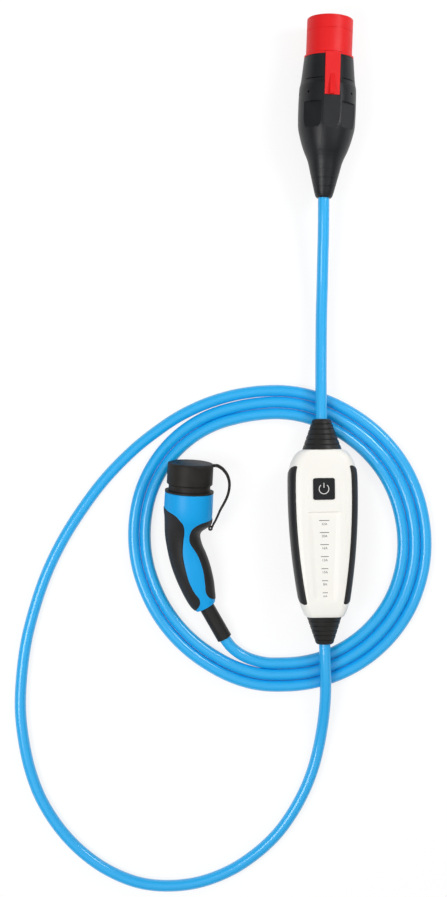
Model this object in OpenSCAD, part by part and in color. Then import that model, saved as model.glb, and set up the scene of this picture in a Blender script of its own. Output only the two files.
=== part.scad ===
// Portable charging cable for electric cars, laid out flat on the floor.
// A five-pin industrial plug, a short supply cable, a control box, a long lead
// that makes one wide loop and a flat coil, and a vehicle connector with its
// dust cap. Millimetres. The origin is the middle of the control box's
// underside, +Y runs along the box towards the plug, and +Z is up.

/* [Cable] */
// Outside diameter of the charging cable
cable_d = 15.6; // [14:0.1:17]
// Room around the cable in the parts that it passes through
cable_room = 0.12; // [0.1:0.01:0.3]
// Distance between the turns of the coil
coil_pitch = 16; // [15.8:0.1:18]
// Radius of the first quarter turn of the coil
coil_first_r = 208; // [204:0.5:212]
// Quarter turns in the coil
coil_quarters = 10; // [10:4:14]

/* [Control box] */
// Length of the box between its end faces
box_l = 229; // [225:1:240]
// Greatest width of the box
box_w = 94.6; // [92:0.2:104]
// Height of the box
box_h = 62; // [60:1:70]
// Depth from the outside of a cover to its inner face
box_wall = 5; // [4.6:0.1:5.4]
// Radius of the long bow of the sides
bow_r = 880; // [800:10:1200]
// Distance from the middle to the widest place
bow_y = 56; // [46:1:64]
// Length of the rounded shoulder at the supply end
shoulder_l = 38; // [32:1:42]
// Length of the rounded corner at the lead end
foot_l = 22; // [18:1:28]
// Width of the flat end faces
end_w = 50; // [49:0.5:54]
// Height of the flat end faces
end_h = 52; // [50:0.5:56]
// Thickness of the seal between the covers
seal_t = 0.8; // [0.5:0.1:1.5]
// Width of the seal
seal_w = 1.6; // [1.2:0.1:1.8]
// Depth of the side grips let into the covers
grip_depth = 2.6; // [2:0.1:2.8]
// How far the side grips stand proud of the covers
grip_proud = 0.4; // [0:0.1:1]
// Play around a grip in its recess
grip_play = 0.12; // [0.1:0.02:0.3]
// Depth of the scale channel in the top cover
channel_depth = 1.8; // [0.8:0.1:2.4]
// Width of the scale channel at the step
channel_w = 42; // [38:1:44]
// Width of the scale channel at its lower end
channel_end_w = 29; // [26:1:32]
// Width of each sloping side of the channel
channel_slope_w = 7.6; // [3:0.2:8]
// Side of the square touch field
badge_w = 29.6; // [24:0.2:32]
// Thickness of the touch field's plate
badge_t = 1; // [0.6:0.1:1.6]
// Distance of the touch field from the middle of the box
badge_y = 61; // [55:1:65]

/* [Glands] */
// Base diameter of the gland at the supply end
gland_in_d = 52; // [46:0.5:53]
// Length of the gland at the supply end
gland_in_l = 42; // [37:1:43]
// Base diameter of the gland at the lead end
gland_out_d = 46; // [42:0.5:48]
// Length of the gland at the lead end
gland_out_l = 39; // [35:1:41]
// Diameter of the thin end of both glands
gland_end_d = 24; // [22:0.5:26]
// Diameter of the neck that goes through the box's end wall
gland_neck_d = 28; // [26:0.5:30]
// Thickness of the lock nut inside the box
gland_nut_t = 6; // [4:0.5:8]
// Width of the lock nut across its corners
gland_nut_d = 37; // [34:0.5:37.5]

/* [Inside the box] */
// Width of the main board
board_w = 54; // [46:1:54]
// Length of the main board
board_l = 172; // [160:1:176]
// Thickness of the boards
board_t = 1.6; // [1.2:0.1:2]
// Height of the carrier's plate above the floor of the bottom cover
carrier_lift = 4; // [4:0.2:6]
// Thickness of the carrier's plate
carrier_t = 2.4; // [2:0.1:3]
// Height of the posts between the carrier and the main board
post_h = 5; // [4:0.5:7]
// Diameter of the posts
post_d = 7; // [6:0.2:8]
// Height of a terminal block
terminal_h = 18; // [16:0.5:20]
// Diameter of one conductor
wire_d = 2.8; // [2.4:0.1:3]

/* [Plug] */
// Length of the plug from the boot's end to the rim of its collar
plug_l = 245; // [240:1:250]
// Diameter of the collar
collar_d = 63.2; // [62:0.1:64]
// Length of the collar in front of the housing
collar_l = 54; // [50:0.5:56]
// Wall of the collar
collar_wall = 3; // [2.5:0.1:3.2]
// Diameter of the housing at its widest
plug_body_d = 78.2; // [76:0.2:80]
// Diameter of the housing at its mouth
plug_mouth_d = 68; // [67:0.2:70]
// Diameter where the housing meets the boot
plug_tail_d = 41; // [38:0.5:43]
// Length of the boot
boot_l = 36; // [32:0.5:40]
// Diameter of the boot's thin end
boot_end_d = 23; // [21:0.5:25]
// Wall of the housing
plug_wall = 4.6; // [4.2:0.1:5]
// Distance between the flat on top and the flat underneath
plug_flat = 75.4; // [74:0.1:76]
// Width of the raised band below the tongue
band_w = 23; // [21:0.5:26]
// Height of the band above the housing
band_t = 0.8; // [0.5:0.1:1.2]
// Distance of the band from the boot
band_low = 24; // [20:1:30]
// Width of the tongue on the collar
tongue_w = 20.4; // [18:0.2:22]
// Length of the tongue behind the collar
tongue_l = 57; // [54:0.5:60]
// Thickness of the tongue
tongue_t = 3; // [2.6:0.1:3.2]
// Height of the lug that holds a socket's lid
lug_h = 5.5; // [4:0.5:6]
// Pitch circle of the five pins
pin_pcd = 37; // [36:0.2:38]
// Diameter of a phase or neutral pin
phase_pin_d = 6; // [5.8:0.1:6.2]
// Diameter of the earth pin
earth_pin_d = 8; // [7.8:0.1:8.2]
// Length of the pins in front of their carrier
pin_l = 38; // [34:0.5:40]

/* [Connector] */
// Diameter of the collar behind the nose
neck_collar_d = 66.6; // [65:0.2:68]
// Length of the handle along its middle line
handle_l = 165; // [160:1:172]
// Straight part of the handle's middle line
handle_straight = 50; // [46:1:54]
// Radius of the bend of the handle's middle line
handle_bend_r = 205; // [195:1:230]
// Depth from the outside of a shell to its inner face
handle_wall = 4.6; // [4.2:0.1:5]
// Depth of the grips let into the shells
pad_depth = 2.4; // [1.8:0.1:2.6]
// How far the grips stand proud of the shells
pad_proud = 0.3; // [0:0.1:0.8]
// Play under the grips in their recess
pad_play = 0.25; // [0.2:0.05:0.4]
// Diameter of the nose
nose_d = 57.4; // [56:0.2:58]
// Length of the nose in front of the handle
nose_l = 36; // [34:0.5:38]
// Visible length of the nose behind the cap
nose_neck_l = 10.6; // [10:0.2:12]
// Depth of the flat along the nose
nose_flat = 6; // [4:0.5:7]
// Thickness of the ring between nose and handle
ring_t = 2.4; // [2:0.1:3]
// Diameter of the dust cap
cap_d = 63; // [62.4:0.1:64]
// Room between the cap and the nose
cap_room = 0.3; // [0.2:0.05:0.5]
// Thickness of the cap's front wall
cap_front_t = 4.6; // [4:0.2:5]
// Width of the cap's strap
strap_w = 7; // [5:0.5:9]
// Thickness of the cap's strap
strap_t = 3.6; // [2.8:0.1:3.8]
// Length of the kink sleeve behind the handle
sleeve_l = 52; // [46:1:54]
// Diameter of the kink sleeve
sleeve_d = 21; // [20.4:0.1:22]

/* [Hidden] */
$fn = 64;

cable_r = cable_d / 2;
bore_r = cable_r + cable_room;
black = [0.07, 0.07, 0.08];
rubber = [0.12, 0.12, 0.13];
blue = [0.05, 0.45, 0.92];
red = [0.87, 0.10, 0.09];
offwhite = [0.95, 0.94, 0.90];
brass = [0.80, 0.66, 0.33];
steel = [0.72, 0.73, 0.75];
green = [0.10, 0.36, 0.20];
tiny = 0.6;        // length of the ramp at the ends of a recess
touch = 0.1;       // gap left between seated faces

// Helpers

// cubic curve through a list of [place, value] pairs
function span(x, t, i = 0) = i >= len(t) - 2 || x < t[i + 1][0] ? i : span(x, t, i + 1);
function rate(t, i) = let (a = max(i - 1, 0), b = min(i + 1, len(t) - 1))
    (t[b][1] - t[a][1]) / (t[b][0] - t[a][0]);
function curve(x, t) = let (
        i = span(x, t),
        h = t[i + 1][0] - t[i][0],
        u = min(max((x - t[i][0]) / h, 0), 1),
        a = t[i][1],
        b = t[i + 1][1],
        m = rate(t, i) * h,
        n = rate(t, i + 1) * h)
    a + u * (m + u * (3 * (b - a) - 2 * m - n + u * (m + n - 2 * (b - a))));

function spread(a, b, n) = [for (k = [0 : n - 1]) a + (b - a) * k / (n - 1)];
function flatten(l) = [for (a = l) for (b = a) b];
function back(l) = [for (i = [len(l) - 1 : -1 : 0]) l[i]];
function unit(v) = v / norm(v);

// the two triangles of one grid cell along its shorter diagonal, without those that have no area
function side(p, a, b, c) = p[a] == p[b] || p[b] == p[c] || p[c] == p[a] ? [] : [[a, b, c]];
function cell(p, a, b, c, d) = norm(p[a] - p[c]) <= norm(p[b] - p[d])
    ? concat(side(p, a, b, c), side(p, a, c, d))
    : concat(side(p, b, c, d), side(p, b, d, a));

// triangles between two level lines of points, o and i: each step goes across the
// shorter way
function zip(p, o, i, a = 0, b = 0) = a == len(o) - 1 && b == len(i) - 1 ? []
    : b == len(i) - 1 || (a < len(o) - 1 && norm(p[o[a + 1]] - p[i[b]]) <= norm(p[o[a]] - p[i[b + 1]]))
    ? concat([[o[a], o[a + 1], i[b]]], zip(p, o, i, a + 1, b))
    : concat([[o[a], i[b + 1], i[b]]], zip(p, o, i, a, b + 1));

// a wall that runs round a closed loop of open rings, the first m of them outside,
// with a flat face along each edge
module half_shell(rings, m) {
    n = len(rings);
    k = len(rings[0]);
    p = flatten(rings);
    walls = flatten([for (j = [0 : n - 1]) for (i = [0 : k - 2])
        let (a = j * k + i, b = ((j + 1) % n) * k + i)
        cell(p, a, b, b + 1, a + 1)]);
    outside = [for (j = [0 : m - 1]) j * k];
    inside = [for (j = [n - 1 : -1 : m]) j * k];
    first = [for (f = zip(p, outside, inside)) back(f)];
    far = k - 1;
    last = zip(p, [for (v = outside) v + far], [for (v = inside) v + far]);
    polyhedron(p, concat(walls, first, last), convexity = 8);
}

// a body swept through closed rings, with its two ends closed
module swept(rings) {
    n = len(rings);
    k = len(rings[0]);
    p = flatten(rings);
    walls = flatten([for (j = [0 : n - 2]) for (i = [0 : k - 1])
        let (a = j * k + i, b = j * k + (i + 1) % k)
        cell(p, a, a + k, b + k, b)]);
    ends = flatten([for (i = [0 : k / 2 - 2])
        concat(cell(p, i, i + 1, k - 2 - i, k - 1 - i),
               let (e = (n - 1) * k) cell(p, e + i, e + k - 1 - i, e + k - 2 - i, e + i + 1))]);
    polyhedron(p, concat(walls, ends), convexity = 8);
}

// a round tube of flat sides along points that run more or less level
module cord(points, r, sides = 10) {
    n = len(points);
    swept([for (i = [0 : n - 1])
        let (t = unit(points[min(i + 1, n - 1)] - points[max(i - 1, 0)]),
             x = unit(cross(t, [0, 0, 1])),
             z = cross(x, t))
        [for (k = [0 : sides - 1]) let (a = 90 + 360 * k / sides)
            points[i] + r * (x * cos(a) - z * sin(a))]]);
}

// a straight round bar from one point to another
module bar(a, b, d) {
    v = b - a;
    translate(a)
        rotate([0, acos(v[2] / norm(v)), atan2(v[1], v[0])])
            cylinder(d = d, h = norm(v), $fn = 24);
}

// a solid of revolution about the Y axis, from [radius, y] points
module turned(profile) {
    rotate([-90, 0, 0])
        mirror([0, 1, 0])
            rotate_extrude($fn = 96)
                polygon(profile);
}
module drum(d, y0, y1, sides = 64) {
    translate([0, y0, 0])
        rotate([-90, 0, 0])
            cylinder(d = d, h = y1 - y0, $fn = sides);
}

// Control box

box_mid = box_h / 2;
box_end = box_l / 2;
box_power = 0.5;     // squareness of the box's section
box_flat = 1.05;     // share by which the top and the underside are cut flat
function fall(t) = 1 - sqrt(1 - min(max(t, 0), 1) ^ 2);
function end_fall(y) = y > 0 ? fall((y - box_end + shoulder_l) / shoulder_l)
                             : fall((-y - box_end + foot_l) / foot_l);
function bow_half(y) = box_w / 2 - bow_r + sqrt(bow_r ^ 2 - (y - bow_y) ^ 2);
function box_half_w(y) = bow_half(y) - (bow_half(y) - end_w / 2) * end_fall(y);
function box_half_h(y) = box_mid - (box_mid - end_h / 2) * end_fall(y);

// point on the section at y, at a depth under the outside; up is 1 for the top
// cover and -1 for the bottom cover, and leaves half the seal's thickness
function box_point(y, phi, depth, up, lift = seal_t / 2) =
    let (w = box_half_w(y) - depth,
         h = box_half_h(y) - depth,
         c = sign(cos(phi)) * abs(cos(phi)) ^ box_power,
         s = min(1, box_flat * abs(sin(phi)) ^ box_power))
    [w * c, y, box_mid + up * (lift + (h - lift) * s)];
function box_angle(x, y) = acos(min(1, max(0, x / box_half_w(y))) ^ (1 / box_power));

// places along the box: rounded ends are spaced by angle
grip_top = 0.8026 * box_end;
grip_low = -0.837 * box_end;
step_y = 30;
channel_low = grip_low + 1.4;
box_places = concat(
    [for (a = [90, 70, 50]) box_end - shoulder_l + shoulder_l * sin(a)],
    [grip_top + tiny, grip_top, grip_top - 2, grip_top - 6, 0.65 * box_end, 0.45 * box_end, step_y + tiny, step_y],
    [for (k = [1 : 6]) step_y + (channel_low + 8 - step_y) * k / 6],
    [grip_low + 4, channel_low, grip_low, grip_low - tiny],
    [for (a = [50, 70, 90]) -box_end + foot_l - foot_l * sin(a)]);

// how far the grips reach round the section, as seen from above and below
grip_over = 10.5;
grip_under = 4;
function grip_grow(y) = let (m = min(6, grip_top - y, y - grip_low)) 1 - (1 - m / 6) ^ 2 / 4;
function grip_in(y) = y <= grip_top && y >= grip_low ? 1 : 0;
function grip_angle(y, reach) = grip_in(y) == 0 ? 0
    : box_angle(box_half_w(y) - reach, y) * grip_grow(y);
function channel_in(y) = y > step_y ? 0 : y < channel_low ? 0
    : y > channel_low + 8 ? 1 : (y - channel_low) / 8;
function channel_half(y) = channel_end_w / 2
    + (channel_w - channel_end_w) / 2 * (min(y, step_y) - channel_low) / (step_y - channel_low);
function channel_angle(y, less) = 90 - box_angle(channel_half(min(max(y, channel_low), step_y)) - less, y);

grip_n = 5;
function top_ring(y) = let (
        g = grip_angle(y, grip_over),
        c = channel_angle(y, 0),
        e = channel_angle(y, channel_slope_w),
        d = grip_in(y) * grip_depth,
        f = channel_in(y) * channel_depth)
    concat([for (a = spread(0, g, grip_n)) box_point(y, a, d, 1)],
           [for (a = spread(g, 90 - c, 5)) box_point(y, a, 0, 1)],
           [for (a = spread(90 - e, 90 + e, 3)) box_point(y, a, 0, 1) - [0, 0, f]],
           [for (a = spread(90 + c, 180 - g, 5)) box_point(y, a, 0, 1)],
           [for (a = spread(180 - g, 180, grip_n)) box_point(y, a, d, 1)]);
function low_ring(y) = let (
        g = grip_angle(y, grip_under),
        d = grip_in(y) * grip_depth)
    concat([for (a = spread(0, g, grip_n)) box_point(y, a, d, -1)],
           [for (a = spread(g, 180 - g, 13)) box_point(y, a, 0, -1)],
           [for (a = spread(180 - g, 180, grip_n)) box_point(y, a, d, -1)]);
cover_n = 2 * grip_n + 13;
function inner_ring(y, up) = [for (a = spread(0, 180, cover_n)) box_point(y, a, box_wall, up)];
// half of the round hole for a gland's neck
neck_hole_r = gland_neck_d / 2 + touch;
function hole_ring(y, r, up) = let (a0 = asin(seal_t / 2 / r))
    [for (a = spread(a0, 180 - a0, cover_n)) [r * cos(a), y, box_mid + up * r * sin(a)]];
inner_end = box_end - box_wall;
inner_places = concat([for (a = [90, 60, 36]) inner_end - shoulder_l + shoulder_l * sin(a)],
    [for (k = [0.65, 0.17, -0.34, -0.755]) k * box_end],
    [for (a = [30, 60, 90]) -inner_end + foot_l - foot_l * sin(a)]);
function cover_rings(up) = concat(
    [for (y = box_places) up > 0 ? top_ring(y) : low_ring(y)],
    [hole_ring(-box_end, neck_hole_r, up), hole_ring(-inner_end, neck_hole_r, up)],
    [for (y = back(inner_places)) inner_ring(y, up)],
    [hole_ring(inner_end, neck_hole_r, up), hole_ring(box_end, neck_hole_r, up)]);

module box_top_cover() {
    color(offwhite) half_shell(cover_rings(1), len(box_places));
}

module box_bottom_cover() {
    color(offwhite) half_shell([for (r = cover_rings(-1)) back(r)], len(box_places));
}

// strip of rubber between the two covers, open where the glands pass
module cover_seal() {
    function line(d) = let (k = 1 - d / box_end)
        [for (y = inner_places) [box_half_w(y / inner_end * box_end) - d, y / inner_end * box_end * k]];
    function rim(d) = concat(line(d), [for (p = back(line(d))) [-p[0], p[1]]]);
    seal_in = grip_depth + 0.4;
    color(rubber)
        difference() {
            translate([0, 0, box_mid - seal_t / 2])
                linear_extrude(seal_t)
                    difference() {
                        polygon(rim(seal_in));
                        polygon(rim(seal_in + seal_w));
                    }
            for (y = [-1, 1])
                translate([0, 0, box_mid])
                    drum(gland_neck_d + 2, y > 0 ? inner_end - 9 : -box_end - 1, y > 0 ? box_end + 1 : -inner_end + 9);
        }
}

// one side grip: a padded strip that wraps from the top round to the underside
module side_grip(dir) {
    places = [for (y = box_places) if (y <= grip_top - touch && y >= grip_low + touch) y];
    trim = 0.5;
    function edge(y, depth) = let (
            g = grip_angle(y, grip_over) - trim,
            l = grip_angle(y, grip_under) - trim)
        concat([for (a = spread(l, 0, grip_n)) box_point(y, a, depth, -1, 0)],
               [for (a = spread(0, g, grip_n)) if (a > 0) box_point(y, a, depth, 1, 0)]);
    color(black)
        mirror([dir > 0 ? 0 : 1, 0, 0])
            swept([for (y = places)
                concat(edge(y, -grip_proud), back(edge(y, grip_depth - grip_play)))]);
}

module touch_field() {
    color(black)
        translate([0, badge_y, box_h])
            linear_extrude(badge_t)
                round_square(badge_w, badge_w, 3);
}

module round_square(w, l, r) {
    square([w - 2 * r, l], center = true);
    square([w, l - 2 * r], center = true);
    for (x = [-1, 1])
        for (y = [-1, 1])
            translate([x * (w / 2 - r), y * (l / 2 - r)])
                circle(r);
}

// Inside of the control box

floor_z = box_wall + touch;
carrier_z = box_wall + carrier_lift;
board_z = carrier_z + carrier_t + post_h;
board_top = board_z + board_t;
post_x = board_w / 2 - 6;
post_y = [-board_l / 2 + 6, 0, board_l / 2 - 6];
screw_r = 1.25;
board_mid = -2;

module at_posts() {
    for (x = [-1, 1])
        for (y = post_y)
            translate([x * post_x, board_mid + y, 0])
                children();
}

module board_carrier() {
    color(rubber)
        difference() {
            union() {
                translate([-board_w / 2 + 3, board_mid - board_l / 2, carrier_z])
                    cube([board_w - 6, board_l, carrier_t]);
                at_posts()
                    translate([0, 0, carrier_z])
                        cylinder(d = post_d, h = carrier_t + post_h);
                for (y = post_y)
                    for (x = [-10, 10])
                        translate([x, board_mid + y * 0.8, floor_z])
                            cylinder(d = post_d, h = carrier_lift + carrier_t - touch);
            }
            at_posts()
                translate([0, 0, carrier_z + 0.5])
                    cylinder(r = screw_r + 0.1, h = board_z);
        }
}

module main_board() {
    color(green)
        difference() {
            translate([0, board_mid, board_z])
                linear_extrude(board_t)
                    round_square(board_w, board_l, 3);
            at_posts()
                translate([0, 0, board_z - 1])
                    cylinder(r = screw_r + 0.3, h = board_t + 2);
        }
}

module board_screws() {
    color(steel)
        at_posts() {
            translate([0, 0, carrier_z + 0.7])
                cylinder(r = screw_r, h = board_top - carrier_z - 0.6);
            translate([0, 0, board_top])
                cylinder(r = 2.6, h = 1.8);
        }
}

relay_size = [24, 13, 26];
module power_relays() {
    color(black)
        for (x = [-1, 1])
            for (y = [12, 28])
                translate([x * (relay_size[0] / 2 + 1.2), y, board_top])
                    linear_extrude(relay_size[2])
                        round_square(relay_size[0], relay_size[1], 1);
}

spacer_h = 2.2;
display_z = box_h - box_wall - touch - spacer_h - board_t;

// ring core that compares the currents in all conductors, just clear of the display board
sensor_gap = 3.1;
sensor_d = display_z - board_top - sensor_gap;
sensor_t = 12;
sensor_y = 50;
module fault_current_sensor() {
    color(rubber)
        translate([0, 0, board_top + sensor_d / 2])
            difference() {
                drum(sensor_d, sensor_y - sensor_t / 2, sensor_y + sensor_t / 2);
                drum(sensor_d - 11, sensor_y - sensor_t, sensor_y + sensor_t);
            }
}

module supply_module() {
    color(black)
        translate([-12, -38, board_top])
            linear_extrude(21)
                round_square(26, 38, 1.5);
}

module radio_module() {
    color(steel)
        translate([14, -40, board_top])
            linear_extrude(3)
                round_square(16, 24, 0.8);
}

terminal_pitch = 9;
terminal_t = 13;
terminal_wire_z = board_top + terminal_h * 0.55;
module terminal_row(y, dir) {
    difference() {
        translate([-2.5 * terminal_pitch, y - terminal_t / 2, board_top])
            cube([5 * terminal_pitch, terminal_t, terminal_h]);
        for (k = [-2 : 2]) {
            translate([k * terminal_pitch, y, board_top + terminal_h - 6])
                cylinder(d = 5, h = 7, $fn = 24);
            translate([k * terminal_pitch, y + dir * 2.5, terminal_wire_z])
                rotate([dir > 0 ? -90 : 90, 0, 0])
                    cylinder(d = wire_d + 2.2, h = terminal_t, $fn = 24);
        }
    }
}
input_y = 66;
output_y = -70;
module input_terminals() {
    color(green) terminal_row(input_y, 1);
}
module output_terminals() {
    color(green) terminal_row(output_y, -1);
}

// five conductors that fan out from a row in the cable's end to the terminals
wire_pitch = (cable_d - wire_d) / 4 - 0.1;
box_cable_end = inner_end - 14;
wire_gap = 0.7;      // room for the slanted ends of the conductors
module fan(y, dir) {
    for (k = [-2 : 2])
        bar([k * wire_pitch, dir * (box_cable_end - wire_gap), box_mid],
            [k * terminal_pitch, y + dir * (terminal_t / 2 - 1), terminal_wire_z],
            wire_d);
}
module input_wires() {
    color(blue) fan(input_y, 1);
}
module output_wires() {
    color(blue) fan(output_y, -1);
}

display_w = 22;
display_l = 156;
display_mid = -7;
mark_pitch = 16.4;
mark_first = 17;
module display_board() {
    color(green)
        translate([0, display_mid, display_z])
            linear_extrude(board_t)
                round_square(display_w, display_l, 2);
}
module display_spacers() {
    color(steel)
        for (x = [-1, 1])
            for (y = [-1, 1])
                translate([x * (display_w / 2 - 3), display_mid + y * (display_l / 2 - 4), display_z + board_t])
                    cylinder(d = 4, h = spacer_h, $fn = 24);
}
module status_leds() {
    color([0.9, 0.95, 1])
        for (k = [0 : 6])
            translate([-2.5, mark_first - k * mark_pitch - 0.8, display_z + board_t])
                cube([5, 1.6, 1.2]);
}

// Glands of the box

// ribbed sleeve: each step is a short cone with a groove behind it
module gland(base_d, long, steps = 4) {
    base_r = base_d / 2;
    end_r = gland_end_d / 2;
    groove = 1.1;
    dip = 0.8;
    step = long / steps;
    function r_at(y) = base_r + (end_r - base_r) * y / long;
    turned(concat(
        [[bore_r, -box_wall - gland_nut_t - 2], [gland_neck_d / 2, -box_wall - gland_nut_t - 2]],
        [[gland_neck_d / 2, touch]],
        flatten([for (k = [0 : steps - 1]) let (y = k * step) concat(
            k == 0 ? [[base_r, touch]] : [[r_at(y) - dip, y], [r_at(y) - dip, y + groove], [r_at(y), y + groove]],
            k == steps - 1 ? [[end_r + 1, long - 2.4], [end_r - 1.4, long]]
                           : [[r_at(y + step), y + step]])]),
        [[bore_r, long]]));
}
module at_end(dir) {
    translate([0, dir * box_end, box_mid])
        rotate([0, 0, dir > 0 ? 0 : 180])
            children();
}
module gland_upper() {
    color(rubber) at_end(1) gland(gland_in_d, gland_in_l);
}
module gland_lower() {
    color(rubber) at_end(-1) gland(gland_out_d, gland_out_l);
}
module gland_nut() {
    difference() {
        drum(gland_nut_d, -box_wall - touch - gland_nut_t, -box_wall - touch, 6);
        drum(gland_neck_d + 0.2, -box_wall - gland_nut_t - 1, -box_wall + 1);
    }
}
module gland_nut_upper() {
    color(black) at_end(1) gland_nut();
}
module gland_nut_lower() {
    color(black) at_end(-1) gland_nut();
}

// Plug, in its own frame: the boot's end at the origin, the rim along +Y

module at_plug() {
    translate(plug_at)
        rotate([0, plug_roll, plug_turn])
            children();
}
function plug_place(p) = plug_at + [p[0] * cos(plug_turn) - p[1] * sin(plug_turn),
                                    p[0] * sin(plug_turn) + p[1] * cos(plug_turn), p[2]];

seal_ring_t = 1;
mouth_y = plug_l - collar_l;          // front face of the housing's seal
housing_end = mouth_y - seal_ring_t;
body_r = plug_body_d / 2;
mouth_r = plug_mouth_d / 2;
tail_r = plug_tail_d / 2;
housing_curve = [[boot_l, tail_r], [boot_l + 14, tail_r + 3.6], [boot_l + 30, tail_r + 10.4],
    [boot_l + 46, body_r - 3.2], [boot_l + 62, body_r], [boot_l + 112, body_r],
    [boot_l + 121, body_r - 1.8], [housing_end, mouth_r]];
housing_line = [for (y = spread(boot_l, housing_end, 36)) [curve(y, housing_curve), y]];
collar_r = collar_d / 2;
collar_in_r = collar_r - collar_wall;
insert_r = collar_r - 1.4;            // part of the collar inside the housing
insert_l = 12;
plug_turn = -2.9;                     // on the floor
plug_roll = 6;                        // about its own axis
// the rolled housing rests on the edge of its lower flat
widest_r = max([for (p = housing_line) p[0]]);
plug_rest = widest_r * cos(max(0, acos(min(1, plug_flat / 2 / widest_r)) - plug_roll));
plug_at = [6.8, 460, plug_rest];
tongue_tilt = atan((plug_flat / 2 + 0.6 - mouth_r - 0.8) / tongue_l);

// the tongue's block, grown all round by play, in line with the housing's slope
module tongue_block(play, more = 0, fore = 0) {
    translate([0, mouth_y, mouth_r + 0.8])
        rotate([-tongue_tilt, 0, 0])
            translate([-tongue_w / 2 - play, -tongue_l - play, -tongue_t - play])
                cube([tongue_w + 2 * play, tongue_l + play + more + fore, tongue_t + play + (more > 0 ? 20 : 0)]);
}

module plug_housing() {
    neck_r = tail_r - plug_wall;
    inner = [[neck_r, boot_l], [neck_r, boot_l + 16], [tail_r + 3.6, boot_l + 38],
        [body_r - plug_wall - 2, boot_l + 60], [body_r - plug_wall - 2, boot_l + 112],
        [insert_r + touch, boot_l + 122], [insert_r + touch, housing_end]];
    color(black)
        at_plug()
            difference() {
                union() {
                    difference() {
                        turned(concat(housing_line, back(inner)));
                        for (s = [-1, 1])
                            translate([-60, 0, s > 0 ? plug_flat / 2 : -plug_flat / 2 - 20])
                                cube([120, plug_l, 20]);
                    }
                    // raised front band that ends below the tongue
                    intersection() {
                        turned(concat([for (p = housing_line) p + [band_t, 0]],
                                      back([for (p = housing_line) p - [plug_wall - 0.6, 0]])));
                        translate([-band_w / 2, boot_l + band_low, 0])
                            cube([band_w, mouth_y - tongue_l - 1.5 - boot_l - band_low, plug_flat / 2 + band_t]);
                    }
                }
                tongue_block(0.3, 10);
                // shallow finger panels beside the front band
                for (a = [-41, 41])
                    rotate([0, a, 0])
                        translate([-14, boot_l + 55, body_r - 2.4])
                            cube([28, 35, 10]);
                // step line round the sides
                for (a = [-41, 41])
                    rotate([0, a, 0])
                        translate([-14, boot_l + 121, body_r - 4.6])
                            cube([28, 1.2, 10]);
                // keyholes of the head's catches
                for (a = [-84, -51, 47])
                    rotate([0, a, 0])
                        translate([0, boot_l + 103, body_r - 8])
                            cylinder(r = 1.6, h = 20, $fn = 24);
            }
}

module plug_boot() {
    grooves = [4.5, 14, 25];
    wide = 1.3;
    dip = 0.9;
    function r_at(y) = boot_end_d / 2 + (tail_r - boot_end_d / 2) * y / boot_l;
    neck_r = tail_r - plug_wall - touch;
    color(rubber)
        at_plug()
            turned(concat(
                [[bore_r, 0], [boot_end_d / 2 - 1.5, 0], [boot_end_d / 2, 1.8]],
                flatten([for (y = grooves) [[r_at(y), y], [r_at(y) - dip, y], [r_at(y + wide) - dip, y + wide],
                                            [r_at(y + wide), y + wide]]]),
                [[tail_r, boot_l - touch], [neck_r, boot_l - touch], [neck_r, boot_l + 10], [bore_r, boot_l + 10]]));
}

// one red moulding: the collar, the tongue that runs back over the housing, the
// lug on the tongue and the key rib underneath
flange_t = 2.4;
module plug_collar() {
    groove_y = plug_l - 18.5;
    color(red)
        at_plug()
            difference() {
                union() {
                    turned([[collar_in_r, mouth_y - insert_l], [insert_r, mouth_y - insert_l], [insert_r, mouth_y],
                        [mouth_r - 0.2, mouth_y], [mouth_r - 0.2, mouth_y + flange_t], [collar_r, mouth_y + flange_t + 1.5],
                        [collar_r, groove_y - 0.7], [collar_r - 0.5, groove_y - 0.5], [collar_r - 0.5, groove_y + 0.5],
                        [collar_r, groove_y + 0.7], [collar_r, plug_l - 1], [collar_r - 1, plug_l],
                        [collar_in_r, plug_l]]);
                    tongue_block(0, 0, flange_t - 0.4);
                    translate([0, mouth_y, mouth_r + 0.8])
                        rotate([-tongue_tilt, 0, 0])
                            translate([3.4, 0, 0])
                                rotate([0, -90, 0])
                                    linear_extrude(6.8)
                                        polygon([[-0.5, -tongue_l + 1], [lug_h - 0.8, -tongue_l + 0.2],
                                            [lug_h, -tongue_l + 1.6], [lug_h * 0.8, -tongue_l + 8], [-0.5, -tongue_l + 31]]);
                    translate([-4, mouth_y + flange_t, -collar_r - 2.4])
                        cube([8, collar_l - flange_t - 6, 4]);
                }
                drum(2 * collar_in_r, mouth_y - 20, plug_l + 1);
            }
}

module plug_seal() {
    color(rubber)
        at_plug()
            difference() {
                drum(plug_mouth_d - 1.6, housing_end, mouth_y);
                drum(2 * insert_r + 0.2, housing_end - 1, mouth_y + 1);
                tongue_block(0.3, 10);
            }
}

// insulating block in the collar, with a seat for each pin
carrier_front = mouth_y + 9;
carrier_back = mouth_y - 14;
pin_seat = 0.05;
pin_step = 1.2;       // a pin is thinner in its seat, and its shoulder rests on the carrier
module at_pins(list) {
    for (k = list)
        rotate([0, 180 + 72 * k, 0])
            translate([0, 0, pin_pcd / 2])
                children();
}
module pin_carrier() {
    color([0.18, 0.18, 0.2])
        at_plug()
            difference() {
                union() {
                    drum(2 * collar_in_r - 0.2, carrier_back, carrier_front);
                    drum(2 * insert_r - 0.4, carrier_back, mouth_y - insert_l - touch);
                }
                at_pins([1 : 4]) drum(phase_pin_d - pin_step + 2 * pin_seat, 0, plug_l, 32);
                at_pins([0]) drum(earth_pin_d - pin_step + 2 * pin_seat, 0, plug_l, 32);
            }
}
module pin(d) {
    thin = (d - pin_step) / 2;
    turned([[0, carrier_back], [thin, carrier_back], [thin, carrier_front], [d / 2, carrier_front],
        [d / 2, carrier_front + pin_l - 1], [d / 2 - 1, carrier_front + pin_l], [0, carrier_front + pin_l]]);
}
module phase_pins() {
    color(brass) at_plug() at_pins([1 : 4]) pin(phase_pin_d);
}
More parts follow.
